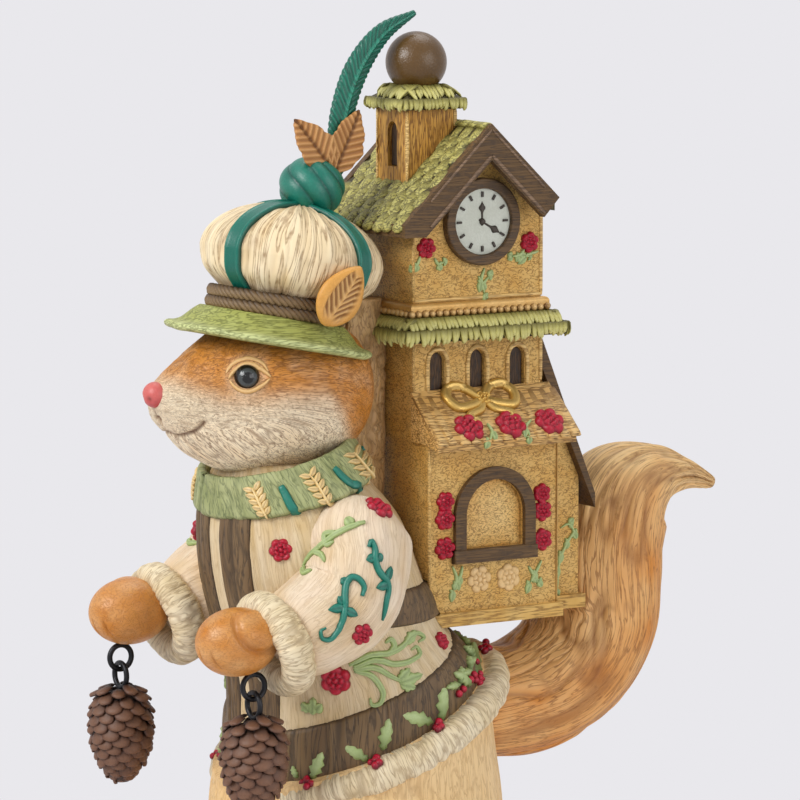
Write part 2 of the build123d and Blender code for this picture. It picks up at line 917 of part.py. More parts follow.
gable_points = [
    (house_front_y, upper_bottom),
    (house_front_y + tower_depth, upper_bottom),
    (house_front_y + tower_depth, slope_z(gable_apex_z, house_front_y)),
    (tower_middle_y, gable_apex_z),
    (house_front_y, slope_z(gable_apex_z, house_front_y)),
]
with BuildPart() as upper_storey:
    with BuildSketch(left_wall):
        with BuildLine():
            Polyline(*gable_points, close=True)
        make_face()
    extrude(amount=tower_half_width, both=True)
    add(hat_crown.part, mode=Mode.SUBTRACT)


def shingle_slope(side, run, courses):
    """Stepped outer line of one slope, from the ridge down to the eave."""
    points = []
    for course in range(courses):
        near = tower_middle_y + side * run * course / courses
        far = tower_middle_y + side * run * (course + 1) / courses
        lift = 0 if course == 0 else -shingle_step
        points.append((near, slope_z(roof_apex_z, near) + lift))
        points.append((far, slope_z(roof_apex_z, far)))
    return points


front_edge_y = eave_y(-1, roof_front_overhang)
back_edge_y = eave_y(1, roof_back_overhang)
slab_front_y = front_edge_y + fascia_thickness
eave_z = slope_z(roof_apex_z, front_edge_y)
with BuildPart() as main_roof:
    with BuildSketch(left_wall):
        with BuildLine():
            front = shingle_slope(-1, tower_middle_y - slab_front_y, front_courses)
            back = shingle_slope(1, back_edge_y - tower_middle_y, back_courses)
            under = [
                (back_edge_y, slope_z(gable_apex_z, back_edge_y)),
                (tower_middle_y, gable_apex_z),
                (slab_front_y, slope_z(gable_apex_z, slab_front_y)),
            ]
            Polyline(*reversed(front), *back[1:], *under, close=True)
        make_face()
    extrude(amount=roof_half_length, both=True)
    add(hat_crown.part, mode=Mode.SUBTRACT)

# A board along each gable end, square cut behind and level cut in front, and one along the front eave
barge_apex_z = roof_apex_z - barge_width / math.cos(math.radians(roof_pitch))
barge_foot_z = eave_z - fascia_height
barge_outline = [
    (front_edge_y, eave_z),
    (tower_middle_y, roof_apex_z),
    (back_edge_y, slope_z(roof_apex_z, back_edge_y)),
    (
        back_edge_y - barge_width * math.sin(math.radians(roof_pitch)),
        slope_z(roof_apex_z, back_edge_y) - barge_width * math.cos(math.radians(roof_pitch)),
    ),
    (tower_middle_y, barge_apex_z),
    (tower_middle_y - (barge_apex_z - barge_foot_z) / roof_slant, barge_foot_z),
    (front_edge_y, barge_foot_z),
]
with BuildPart() as left_barge_board:
    with BuildSketch(left_wall.offset(roof_half_length)):
        with BuildLine():
            Polyline(*barge_outline, close=True)
        make_face()
    extrude(amount=barge_thickness)
with BuildPart() as barge_boards:
    add(both_sides(left_barge_board.part))
    add(
        block(
            (-roof_half_length, front_edge_y, barge_foot_z),
            (roof_half_length, slab_front_y, eave_z),
        )
    )
    add(hat_crown.part, mode=Mode.SUBTRACT)

# Apron roofs over the lower storey, one each side of the tower
apron_outline = [
    (tower_half_width, mid_bottom),
    (lower_storey_half_width, mid_bottom),
    (lower_storey_half_width + apron_reach, mid_bottom - apron_thickness / 2),
    (lower_storey_half_width + apron_reach, mid_bottom + apron_thickness / 2),
    (tower_half_width, mid_bottom + apron_rise),
]
with BuildPart() as left_apron_roof:
    with BuildSketch(Plane(origin=(0, lower_front_y - apron_end_overhang, 0), x_dir=(1, 0, 0), z_dir=(0, -1, 0))):
        with BuildLine():
            Polyline(*apron_outline, close=True)
        make_face()
    extrude(amount=-(lower_storey_depth + 2 * apron_end_overhang))
with BuildPart() as right_apron_roof:
    mirror(left_apron_roof.part, about=Plane.YZ)


# Clock on each gable
clock_spot = Plane(
    origin=(tower_half_width, tower_middle_y + clock_y_shift, roof_apex_z - clock_below_apex),
    x_dir=(0, 1, 0),
    z_dir=(1, 0, 0),
)
with BuildPart() as left_bezel:
    with BuildSketch(clock_spot):
        Circle(clock_radius)
        Circle(clock_dial_radius, mode=Mode.SUBTRACT)
    extrude(amount=clock_relief)
    fillet(left_bezel.faces().sort_by(Axis.X)[-1].edges(), clock_relief / 4)
with BuildPart() as left_dial:
    with BuildSketch(clock_spot):
        Circle(clock_dial_radius)
    extrude(amount=clock_dial_relief)
dial_face = clock_spot.offset(clock_dial_relief)
with BuildPart() as left_hands:
    for turn, length in ((90, hour_hand), (-minute_turn, minute_hand)):
        with BuildSketch(turned(dial_face, turn)):
            Rectangle(length, hand_width, align=(Align.MIN, Align.CENTER))
        extrude(amount=hand_thickness)
    with BuildSketch(dial_face):
        Circle(hand_hub_radius)
    extrude(amount=hand_thickness)
with BuildPart() as left_marks:
    with BuildSketch(dial_face):
        with PolarLocations(clock_dial_radius - hour_mark_inset, 12):
            Rectangle(hour_mark_length, hour_mark_width)
    extrude(amount=hand_thickness)
with BuildPart() as clock_bezels:
    add(both_sides(left_bezel.part))
with BuildPart() as clock_dials:
    add(both_sides(left_dial.part))
with BuildPart() as clock_hands:
    add(both_sides(left_hands.part))
with BuildPart() as hour_marks:
    add(both_sides(left_marks.part))


# Cupola, its roof and the ball
cupola_y = house_front_y + cupola_front_gap + cupola_side / 2
with BuildPart() as cupola:
    add(
        block(
            (-cupola_side / 2, cupola_y - cupola_side / 2, upper_bottom + upper_wall_height),
            (cupola_side / 2, cupola_y + cupola_side / 2, cupola_top),
        )
    )
    cupola_slot = Plane(
        origin=(0, cupola_y - cupola_side / 2 + slot_recess, cupola_top - cupola_slot_drop - cupola_slot_height),
        x_dir=(1, 0, 0),
        z_dir=(0, -1, 0),
    )
    with BuildSketch(cupola_slot):
        add(arch_outline(cupola_slot_width, cupola_slot_height))
    extrude(amount=slot_recess, mode=Mode.SUBTRACT)
    add(main_roof.part, mode=Mode.SUBTRACT)
    add(upper_storey.part, mode=Mode.SUBTRACT)
with BuildPart() as cupola_roof:
    with BuildSketch(Plane(origin=(0, cupola_y, cupola_top))):
        Rectangle(cupola_roof_side, cupola_roof_side)
    extrude(amount=cupola_eave)
    with BuildSketch(Plane(origin=(0, cupola_y, cupola_top + cupola_eave))):
        Rectangle(cupola_roof_side, cupola_roof_side)
    with BuildSketch(Plane(origin=(0, cupola_y, cupola_top + cupola_roof_rise))):
        Rectangle(cupola_roof_top_side, cupola_roof_top_side)
    loft()
with BuildPart() as finial_ball:
    with Locations((0, cupola_y, cupola_top + cupola_roof_rise + ball_radius - ball_sink)):
        Sphere(ball_radius)
    add(cupola_roof.part, mode=Mode.SUBTRACT)
    add(plume.part, mode=Mode.SUBTRACT)


# Back bay under one steep roof board
tower_back_y = house_front_y + tower_depth
bay_slope = bay_roof_drop / bay_roof_reach
board_top_z = fringe_bottom
board_drop = bay_roof_thickness * math.hypot(1, bay_slope)
bay_back_y = lower_back_y + bay_depth
board_outline = [
    (tower_back_y, board_top_z),
    (tower_back_y + bay_roof_reach, board_top_z - bay_roof_drop),
    (tower_back_y + bay_roof_reach, board_top_z - bay_roof_drop - board_drop / 2),
    (tower_back_y, board_top_z - board_drop),
]
with BuildPart() as back_bay_roof:
    with BuildSketch(left_wall):
        with BuildLine():
            Polyline(*board_outline, close=True)
        make_face()
    extrude(amount=bay_roof_half_width, both=True)
    add(lower_storey.part, mode=Mode.SUBTRACT)
bay_outline = [
    (tower_back_y, lower_bottom),
    (bay_back_y, lower_bottom),
    (bay_back_y, board_top_z - bay_slope * (bay_back_y - tower_back_y) - board_drop / 2),
    (tower_back_y, board_top_z - board_drop / 2),
]
with BuildPart() as back_bay:
    with BuildSketch(left_wall):
        with BuildLine():
            Polyline(*bay_outline, close=True)
        make_face()
    extrude(amount=bay_half_width, both=True)
    for neighbour in (back_bay_roof, lower_storey, tail):
        add(neighbour.part, mode=Mode.SUBTRACT)


# Relief roses: two tiers of petals and a core, on any flat face
def rose(plane, radius):
    """One rose standing on a plane."""
    with BuildPart() as flower:
        with Locations(plane):
            Cylinder(
                radius,
                radius * rose_height_share * rose_core_share,
                align=(Align.CENTER, Align.CENTER, Align.MIN),
            )
            Cone(
                radius * rose_tier_share,
                radius * rose_tier_share / 2,
                radius * rose_height_share,
                align=(Align.CENTER, Align.CENTER, Align.MIN),
            )
    return flower.part


apron_run = lower_storey_half_width + apron_reach - tower_half_width
apron_fall = apron_rise - apron_thickness / 2
apron_normal = Vector(apron_fall, 0, apron_run).normalized()
apron_rose_spots = [
    Plane(
        origin=(
            tower_half_width + apron_run * 0.78,
            tower_middle_y + apron_rose_spacing * index,
            mid_bottom + apron_rise - apron_fall * 0.78,
        ),
        x_dir=(0, 1, 0),
        z_dir=apron_normal,
    )
    for index in (-1, 0, 1)
]
wall_rose_spots = [
    window_spot.moved(Pos(side * wall_rose_reach, height, 0))
    for side in (-1, 1)
    for height in (wall_rose_low, wall_rose_high)
]
gable_rose_spots = [
    Plane(
        origin=(tower_half_width, tower_middle_y + side * gable_rose_reach, upper_bottom + gable_rose_height),
        x_dir=(0, 1, 0),
        z_dir=(1, 0, 0),
    )
    for side in (-1, 1)
]
with BuildPart() as house_roses:
    for spots, radius in (
        (apron_rose_spots, apron_rose_radius),
        (wall_rose_spots, wall_rose_radius),
        (gable_rose_spots, gable_rose_radius),
    ):
        for spot in spots:
            add(both_sides(rose(spot, radius)))
    add(window_frames.part, mode=Mode.SUBTRACT)
    add(clock_bezels.part, mode=Mode.SUBTRACT)

bow_spot = Plane(
    origin=(
        tower_half_width + apron_run * 0.3,
        tower_middle_y - clock_y_shift * 2,
        mid_bottom + apron_rise - apron_fall * 0.3,
    ),
    x_dir=(0, 1, 0),
    z_dir=apron_normal,
)
with BuildPart() as left_bow:
    with Locations(bow_spot):
        Cylinder(bow_knot_radius, bow_knot_radius, align=(Align.CENTER, Align.CENTER, Align.MIN))
    with BuildSketch(bow_spot):
        for side in (-1, 1):
            with Locations((side * bow_loop_length / 2, bow_loop_radius * 0.3)):
                Ellipse(bow_loop_length / 2, bow_loop_radius)
            with Locations(Location((side * bow_tail_length * 0.3, -bow_tail_length * 0.3), side * bow_tail_turn)):
                Rectangle(bow_tail_width, bow_tail_length)
    extrude(amount=bow_knot_radius * 0.7)
with BuildPart() as gold_bows:
    add(both_sides(left_bow.part))
    add(house_roses.part, mode=Mode.SUBTRACT)
    add(mid_storey.part, mode=Mode.SUBTRACT)

# The right side mirrors the left
with BuildPart() as right_sleeve:
    mirror(left_sleeve.part, about=Plane.YZ)
with BuildPart() as right_cuff:
    mirror(left_cuff.part, about=Plane.YZ)

finished = {
    "base_felt": base_felt,
    "lower_body": lower_body,
    "left_foot": left_foot,
    "right_foot": right_foot,
    "hem_fur_trim": hem_fur_trim,
    "hem_band": hem_band,
    "coat_body": coat_body,
    "coat_front_bands": coat_front_bands,
    "waist_strap": waist_strap,
    "left_sleeve": left_sleeve,
    "right_sleeve": right_sleeve,
    "left_cuff": left_cuff,
    "right_cuff": right_cuff,
    "left_paw": left_paw,
    "right_paw": right_paw,
    "left_paw_eye": left_paw_eye,
    "right_paw_eye": right_paw_eye,
    "left_cone_eye": left_cone_eye,
    "right_cone_eye": right_cone_eye,
    "left_cone": left_cone,
    "right_cone": right_cone,
    "scarf_collar": scarf_collar,
    "head": head,
    "left_eye": left_eye,
    "right_eye": right_eye,
    "nose": nose,
    "left_ear": left_ear,
    "right_ear": right_ear,
    "hat_brim": hat_brim,
    "hat_rope_band": hat_rope_band,
    "hat_crown": hat_crown,
    "hat_ribbons": hat_ribbons,
    "hat_knot": hat_knot,
    "plume": plume,
    "hat_leaves": hat_leaves,
    "tail": tail,
    "house_ledge": house_ledge,
    "lower_storey": lower_storey,
    "window_frames": window_frames,
    "left_apron_roof": left_apron_roof,
    "right_apron_roof": right_apron_roof,
    "mid_storey": mid_storey,
    "fringe_roof": fringe_roof,
    "bead_course": bead_course,
    "upper_storey": upper_storey,
    "main_roof": main_roof,
    "barge_boards": barge_boards,
    "clock_bezels": clock_bezels,
    "clock_dials": clock_dials,
    "clock_hands": clock_hands,
    "hour_marks": hour_marks,
    "cupola": cupola,
    "cupola_roof": cupola_roof,
    "finial_ball": finial_ball,
    "back_bay": back_bay,
    "back_bay_roof": back_bay_roof,
    "house_roses": house_roses,
    "gold_bows": gold_bows,
}
for name, builder in finished.items():
    finish(builder, name)
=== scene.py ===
"""Finish of a squirrel figurine that carries a clock house on its back.

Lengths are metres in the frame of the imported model: the squirrel faces -Y, its left
side is +X and +Z is up. Carved hair, painted ornament and small trim are built here
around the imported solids.
"""

from __future__ import annotations

import json
import logging
import math
from dataclasses import dataclass
from enum import Enum
from functools import cache
from typing import Callable, Iterable, Sequence

import bpy
import numpy as np
from mathutils import Matrix, Vector
from mathutils.bvhtree import BVHTree

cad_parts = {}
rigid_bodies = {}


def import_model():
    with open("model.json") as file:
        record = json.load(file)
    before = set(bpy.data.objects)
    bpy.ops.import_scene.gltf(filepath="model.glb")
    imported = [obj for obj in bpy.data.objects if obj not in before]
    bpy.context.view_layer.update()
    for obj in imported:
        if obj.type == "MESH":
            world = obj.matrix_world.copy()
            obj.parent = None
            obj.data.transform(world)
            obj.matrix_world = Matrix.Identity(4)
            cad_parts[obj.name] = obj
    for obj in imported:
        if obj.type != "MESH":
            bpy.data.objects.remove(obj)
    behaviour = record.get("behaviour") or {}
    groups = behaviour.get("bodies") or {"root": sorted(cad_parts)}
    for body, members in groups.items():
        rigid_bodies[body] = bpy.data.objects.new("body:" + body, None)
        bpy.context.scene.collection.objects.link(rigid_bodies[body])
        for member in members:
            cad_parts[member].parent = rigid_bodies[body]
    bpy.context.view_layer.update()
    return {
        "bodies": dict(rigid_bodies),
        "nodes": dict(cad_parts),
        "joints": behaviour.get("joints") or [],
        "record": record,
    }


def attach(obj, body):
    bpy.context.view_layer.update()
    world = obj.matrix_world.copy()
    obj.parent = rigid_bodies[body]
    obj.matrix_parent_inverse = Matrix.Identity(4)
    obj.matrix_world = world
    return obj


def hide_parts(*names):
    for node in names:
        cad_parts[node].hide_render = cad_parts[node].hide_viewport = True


LOG = logging.getLogger("figurine")
MM = 0.001
FIGURE = "figure"
Array = np.ndarray
Piece = bpy.types.Object
Socket = bpy.types.NodeSocket
Point = tuple[float, float, float]
Pixel = tuple[float, float]
Table = tuple[tuple[float, ...], ...]
Marks = dict[str, Array]


def linear(code: str) -> tuple[float, float, float, float]:
    """Display colour in hexadecimal as the linear colour that a shader takes."""
    shares = [value / 255 for value in bytes.fromhex(code)]
    return (*(s / 12.92 if s <= 0.04045 else ((s + 0.055) / 1.055) ** 2.4 for s in shares), 1.0)


def held(values: Array) -> Array:
    """Values held between 0 and 1."""
    return np.clip(values, 0, 1)


def bell(values: Array) -> Array:
    """Bell curve, 1 at 0 and next to nothing past 2."""
    return np.exp(-(values**2))


def grid(*parts: object) -> Array:
    """Points from coordinates that broadcast together."""
    return np.stack(np.broadcast_arrays(*parts), -1)


def ease(values: Array, low: float, high: float) -> Array:
    """Smooth step from 0 at low to 1 at high."""
    share = held((values - low) / (high - low))
    return share * share * (3 - 2 * share)


def lattice(points: Array, seed: int) -> Array:
    """Smooth value noise.

    Args:
        points: Places in units of the noise's cell, with three numbers on the last axis.
        seed: Picks the pattern.

    Returns:
        Values from -1 to 1.
    """
    base = np.floor(points)
    part = points - base
    part = part * part * (3 - 2 * part)
    cell = base.astype(np.int64)
    total = np.zeros(points.shape[:-1])
    for corner in range(8):
        step = np.array([corner & 1, corner >> 1 & 1, corner >> 2 & 1])
        share = np.prod(np.where(step, part, 1 - part), axis=-1)
        key = (cell + step) @ np.array([374761393, 668265263, 362437]) + seed * 974711
        key = key & 0xFFFFFFFF
        key = (key ^ key >> 15) * 739982445 & 0xFFFFFFFF
        key = (key ^ key >> 12) * 695872825 & 0xFFFFFFFF
        key ^= key >> 15
        total += share * ((key & 0xFFFF) / 32767.5 - 1)
    return total


def layered(points: Array, seed: int, layers: int = 3) -> Array:
    """Noise of several sizes added up, each half as large and half as strong."""
    return sum(lattice(points * 2**k, seed + k) / 2**k for k in range(layers))


def grooves(points: Array, seed: int, width: float) -> Array:
    """Thin winding lines: 1 in a line and 0 away from it."""
    return 1 - ease(np.abs(lattice(points, seed)), 0, width)


def cubic(stations: Sequence[float], values: Sequence[Sequence[float]], at: Array) -> Array:
    """Smooth curve through a table.

    Args:
        stations: Rising parameter of each table row.
        values: Table rows.
        at: Parameters to read.

    Returns:
        One row for each parameter.
    """
    x = np.asarray(stations, float)
    y = np.asarray(values, float)
    slope = np.gradient(y, x, axis=0)
    index = np.clip(np.searchsorted(x, at, side="right") - 1, 0, len(x) - 2)
    gap = (x[index + 1] - x[index])[:, None]
    t = ((at - x[index]) / gap[:, 0])[:, None]
    return (
        (2 * t**3 - 3 * t**2 + 1) * y[index]
        + (t**3 - 2 * t**2 + t) * gap * slope[index]
        + (3 * t**2 - 2 * t**3) * y[index + 1]
        + (t**3 - t**2) * gap * slope[index + 1]
    )


def lengths(path: Array) -> Array:
    """Distance along a path at each of its points."""
    return np.concatenate([[0], np.cumsum(np.linalg.norm(np.diff(path, axis=0), axis=1))])


def along_path(points: Sequence[Sequence[float]], count: int) -> Array:
    """Evenly spaced points on a smooth curve through a few points.

    Args:
        points: A few places, in any number of coordinates.
        count: Points on the curve.

    Returns:
        One row for each point.
    """
    anchors = np.asarray(points, float)
    stations = lengths(anchors)
    return cubic(stations, anchors, np.linspace(0, stations[-1], count))


def read_shares(table: Sequence[Sequence[float]], at: Array) -> Array:
    """Values of a table with its stations in the first column, at places of any shape."""
    data = np.array(table)
    return cubic(data[:, 0], data[:, 1:], at.ravel()).reshape(*at.shape, -1)


def swept(table: Array, count: int) -> tuple[Array, Array, float]:
    """Table of places and sizes read evenly along its path, with unit tangents and the path's length.

    Args:
        table: Place in the first three columns and sizes after them.
        count: Rows to read.

    Returns:
        The rows, their unit tangents and the length.
    """
    reach = lengths(table[:, :3])
    read = cubic(reach, table, np.linspace(0, reach[-1], count))
    return read, unit(np.gradient(read[:, :3], axis=0)), reach[-1]


def turns(count: int) -> Array:
    """Angles evenly spaced round a full turn."""
    return np.linspace(0, 2 * np.pi, count, endpoint=False)


def unit(vectors: Array) -> Array:
    """Vectors on the last axis, scaled to length 1."""
    return vectors / np.maximum(np.linalg.norm(vectors, axis=-1, keepdims=True), 1e-12)


def row_normals(rows: Array, ring: bool = False) -> Array:
    """Outward normals of rows of points that close round their second axis.

    Args:
        rows: Points, shaped (rows, columns, 3).
        ring: The first axis closes too.

    Returns:
        Unit normals of the same shape.
    """
    around = np.roll(rows, -1, axis=1) - np.roll(rows, 1, axis=1)
    along = np.roll(rows, -1, axis=0) - np.roll(rows, 1, axis=0) if ring else np.gradient(rows, axis=0)
    normals = np.cross(around, along)
    if np.sum((rows - rows.mean(axis=(0, 1))) * normals) < 0:
        normals = -normals
    return unit(normals)


def pushed(rows: Array, height: Array, ring: bool = False) -> Array:
    """Rows moved out along their normals by a height in millimetres."""
    return rows + row_normals(rows, ring) * (MM * height)[..., None]


def patches(rows: Array, cell: float, seed: int, middle: float = 0.5, swing: float = 0.5) -> Array:
    """Soft patches of tint, about a cell of some millimetres across."""
    return middle + swing * lattice(rows / (cell * MM), seed)


def lofted(table: Sequence[Sequence[float]], deep: Point, rows: int, columns: int) -> Array:
    """Rows of points through elliptical sections.

    Args:
        table: Station, centre, half width along X and half depth of each section, in millimetres.
        deep: Direction of the half depth.
        rows: Number of rows, evenly spaced over the stations.
        columns: Points round a row.

    Returns:
        Points in metres, shaped (rows, columns, 3).
    """
    data = np.asarray(table, float)
    read = read_shares(data, np.linspace(data[0, 0], data[-1, 0], rows))[:, None]
    angle = turns(columns)[None, :, None]
    wide = np.cos(angle) * read[..., 3:4] * np.array([1, 0, 0])
    return MM * (read[..., :3] + wide + np.sin(angle) * read[..., 4:5] * np.array(deep))


def placed(frame: Matrix, flat: Array) -> Array:
    """Places in metres of points that a frame gives in millimetres."""
    return MM * (flat @ np.array(frame.to_3x3()).T + np.array(frame.translation))


def spun(frame: Matrix, profile: Array, columns: int) -> Array:
    """Rows of points of a profile, radius and height in millimetres, turned about a frame's Z.

    Args:
        frame: Frame in millimetres.
        profile: Radius and height, one row for each point.
        columns: Points round the axis.

    Returns:
        Points in metres, shaped (rows, columns, 3).
    """
    angle = turns(columns)[None, :]
    radius, height = profile[:, :1], profile[:, 1:]
    return placed(frame, grid(radius * np.cos(angle), radius * np.sin(angle), height))


def even_loop(points: Array, count: int) -> Array:
    """Points evenly spaced round a closed path of two coordinates, whose last point is its first.

    Args:
        points: The path.
        count: Points wanted.

    Returns:
        The points, with two coordinates each.
    """
    reach = lengths(points)
    at = np.linspace(0, reach[-1], count, endpoint=False)
    return np.stack([np.interp(at, reach, points[:, 0]), np.interp(at, reach, points[:, 1])], axis=1)


def rounded_box_profile(
    inner: float, outer: float, low: float, high: float, edge: float, count: int
) -> Array:
    """Closed profile of a ring with rounded edges, radius and height in millimetres.

    Args:
        inner: Inner radius.
        outer: Outer radius.
        low: Lower height.
        high: Upper height.
        edge: Radius of the roundings.
        count: Points on the profile.

    Returns:
        The profile, one row for each point.
    """
    points = []
    for radius, height, start in ((outer, low, -90), (outer, high, 0), (inner, high, 90), (inner, low, 180)):
        x = radius - edge if radius == outer else radius + edge
        y = height + edge if height == low else height - edge
        arc = np.radians(np.linspace(start, start + 90, 8))
        points += [(x + edge * math.cos(t), y + edge * math.sin(t)) for t in arc]
    return even_loop(np.array([*points, points[0]]), count)


def frame_at(origin: Point, tilt: float) -> Matrix:
    """Frame in millimetres whose Z leans forward, to -Y, by a tilt in degrees."""
    return Matrix.Translation(origin) @ Matrix.Rotation(math.radians(tilt), 4, "X")


def near(points: Array, path: Array) -> Array:
    """Distance from each point to the nearest point of a path."""
    return np.min(np.linalg.norm(points[..., None, :] - path, axis=-1), axis=-1)


def side_name(side: int) -> str:
    """Name of a side, 1 for left and -1 for right."""
    return "left" if side > 0 else "right"


def to_side(side: int) -> Array:
    """Factors that put a place of the left side on a side, 1 for left and -1 for right."""
    return np.array([side, 1, 1])


def metres(*values: float) -> tuple[float, ...]:
    """Millimetres in metres."""
    return tuple(value * MM for value in values)


class Shape:
    """Mesh data that grows piece by piece before it becomes an object."""

    def __init__(self) -> None:
        """Start with no geometry."""
        self.points: list[Array] = []
        self.faces: list[tuple[int, ...]] = []
        self.marks: dict[str, list[Array]] = {}
        self.count = 0

    def add(self, points: Array, faces: Iterable[tuple[int, ...]], marks: Marks | None = None) -> None:
        """Add points, faces that index them and any marks on the points, one or three numbers each.

        Args:
            points: Points in metres.
            faces: Faces, as indices of these points.
            marks: Values on the points.
        """
        marks = {name: np.asarray(v, float).reshape(len(points), -1) for name, v in (marks or {}).items()}
        for name in set(self.marks) | set(marks):
            size = (marks[name] if name in marks else self.marks[name][0]).shape[1]
            stack = self.marks.setdefault(name, [np.zeros((self.count, size))])
            stack.append(marks.get(name, np.zeros((len(points), size))))
        self.points.append(points)
        self.faces.extend(tuple(i + self.count for i in face) for face in faces)
        self.count += len(points)

    def add_rows(self, rows: Array, marks: Marks | None = None, ring: bool = False) -> None:
        """Add a closed skin over rows of points that close round their second axis.

        Args:
            rows: Points, shaped (rows, columns, 3).
            marks: Values for each point, shaped (rows, columns).
            ring: Join the last row to the first instead of capping both ends.
        """
        marks = marks or {}
        count, columns = rows.shape[:2]
        points = rows.reshape(-1, 3)
        i = np.arange(count if ring else count - 1)[:, None]
        j = np.arange(columns)[None, :]
        a = i * columns + j
        b = i * columns + (j + 1) % columns
        c = (i + 1) % count * columns + (j + 1) % columns
        d = (i + 1) % count * columns + j
        quads = np.stack([a, b, c, d], axis=-1).reshape(-1, 4)
        caps: list[tuple[int, ...]] = []
        flat = {name: np.asarray(value, float).reshape(len(points), -1) for name, value in marks.items()}
        if not ring:
            points = np.vstack([points, rows[0].mean(axis=0), rows[-1].mean(axis=0)])
            flat = {n: np.vstack([v, v[:columns].mean(0), v[-columns:].mean(0)]) for n, v in flat.items()}
            first, last, start = len(points) - 2, len(points) - 1, (count - 1) * columns
            for k in range(columns):
                caps.append((first, (k + 1) % columns, k))
                caps.append((last, start + k, start + (k + 1) % columns))
        triangles = np.vstack([quads[:, :3], quads[:, [0, 2, 3]], *([np.array(caps)] if caps else [])])
        p, q, r = (points[triangles[:, k]] for k in range(3))
        faces = [tuple(face) for face in quads.tolist()] + caps
        if np.einsum("ij,ij->i", p, np.cross(q, r)).sum() < 0:
            faces = [face[::-1] for face in faces]
        self.add(points, faces, flat)

    def build(self, name: str, smooth: bool = True) -> Piece:
        """Make the object, with its marks as point attributes.

        Args:
            name: Name of the object.
            smooth: Shade its faces smooth.

        Returns:
            The object.
        """
        mesh = bpy.data.meshes.new(name)
        mesh.from_pydata(np.vstack(self.points).tolist(), [], self.faces)
        for mark, stack in self.marks.items():
            values = np.vstack(stack).astype(np.float32)
            single = values.shape[1] == 1
            attribute = mesh.attributes.new(mark, "FLOAT" if single else "FLOAT_VECTOR", "POINT")
            attribute.data.foreach_set("value" if single else "vector", values.ravel())
        mesh.polygons.foreach_set("use_smooth", [smooth] * len(mesh.polygons))
        mesh.update()
        piece = bpy.data.objects.new(name, mesh)
        bpy.context.scene.collection.objects.link(piece)
        return piece


def skin(name: str, rows: Array, marks: Marks | None = None, ring: bool = False) -> Piece:
    """One object from rows of points, as Shape.add_rows takes them.

    Args:
        name: Name of the object.
        rows: Points, shaped (rows, columns, 3).
        marks: Values for each point.
        ring: Join the last row to the first.

    Returns:
        The object.
    """
    shape = Shape()
    shape.add_rows(rows, marks, ring)
    return shape.build(name)


@dataclass(frozen=True)
class Comb:
    """How carved hair or brushed cloth lies on a surface, in millimetres."""

    length: float
    width: float
    height: float
    seed: int
    sway: float = 0.7
    swell: float = 0.5

    def relief(self, along: Array, across: Array) -> tuple[Array, Marks]:
        """Carving at places of a surface.

        Args:
            along: Distance in the direction of the hair, in metres.
            across: Two distances across it, on the last axis, so that it can close round a limb.

        Returns:
            Height over the plain surface in millimetres, and the marks that the paint reads.
        """
        flow = np.concatenate([along[..., None] / (self.length * MM), across / (self.width * MM)], axis=-1)
        bend = self.sway * layered(flow * np.array([0.9, 0.22, 0.22]), self.seed + 11, 2)
        flow = flow + bend[..., None] * np.array([0.0, 1.0, 1.0])
        lock = flow * np.array([0.7, 0.5, 0.5])
        coarse = grooves(lock, self.seed, 0.30)
        swell = lattice(lock * 0.8, self.seed + 2)
        height = self.height * (self.swell * swell - coarse)
        return height, {"depth": 0.70 * coarse**4, "high": held(0.5 + 0.5 * swell), "flow": flow}

    def carve(
        self, rows: Array, ring: bool = False, slant: float = 0.0, ends: bool = True
    ) -> tuple[Array, Marks]:
        """Carve rows of points with hair that runs from row to row.

        Args:
            rows: Points that close round their second axis.
            ring: The first axis closes too.
            slant: Turn about the limb for each metre along it.
            ends: Fade the carving out at both ends of open rows.

        Returns:
            The carved rows and their marks.
        """
        steps = np.linalg.norm(np.diff(rows, axis=0), axis=2).mean(axis=1)
        along = np.concatenate([[0], np.cumsum(steps)])
        around = np.linalg.norm(np.roll(rows, -1, axis=1) - rows, axis=2).sum(axis=1).max()
        count, columns = rows.shape[:2]
        angle = turns(columns)[None, :] + slant * along[:, None]
        across = np.stack([np.cos(angle), np.sin(angle)], -1) * around / (2 * np.pi)
        height, marks = self.relief(np.repeat(along[:, None], columns, 1), across)
        if ends and not ring:
            edge = np.minimum(np.arange(count), np.arange(count)[::-1])
            height = height * ease(edge, 0, 4)[:, None]
        return pushed(rows, height, ring), marks


class Pattern(Enum):
    """Small surface patterns of the painted casting."""

    PLAIN = "plain"
    HAIR = "hair"
    STIPPLE = "stipple"
    HATCH = "hatch"
    GRAIN = "grain"
    STRAW = "straw"


@dataclass(frozen=True)
class PatternMap:
    """Cells per metre, stretch and strength of a pattern."""

    scale: float
    stretch: Point
    turn: Point
    dark: float
    bump: float
    line: float


PATTERNS = {
    Pattern.PLAIN: PatternMap(700.0, (1.0, 1.0, 1.0), (0.0, 0.0, 0.0), 0.10, 0.15, 0.10),
    Pattern.HAIR: PatternMap(1.0, (1.0, 1.0, 1.0), (0.0, 0.0, 0.0), 0.62, 0.8, 0.06),
    Pattern.STIPPLE: PatternMap(520.0, (1.0, 1.0, 1.9), (0.35, 0.0, 0.0), 0.62, 0.9, 0.062),
    Pattern.HATCH: PatternMap(520.0, (1.0, 0.20, 1.9), (-0.9, 0.0, 0.0), 0.75, 0.9, 0.085),
    Pattern.STRAW: PatternMap(520.0, (1.9, 1.9, 0.22), (0.0, 0.0, 0.0), 0.8, 0.9, 0.10),
    Pattern.GRAIN: PatternMap(420.0, (1.0, 0.16, 2.4), (-0.75, 0.0, 0.0), 0.62, 0.7, 0.10),
}


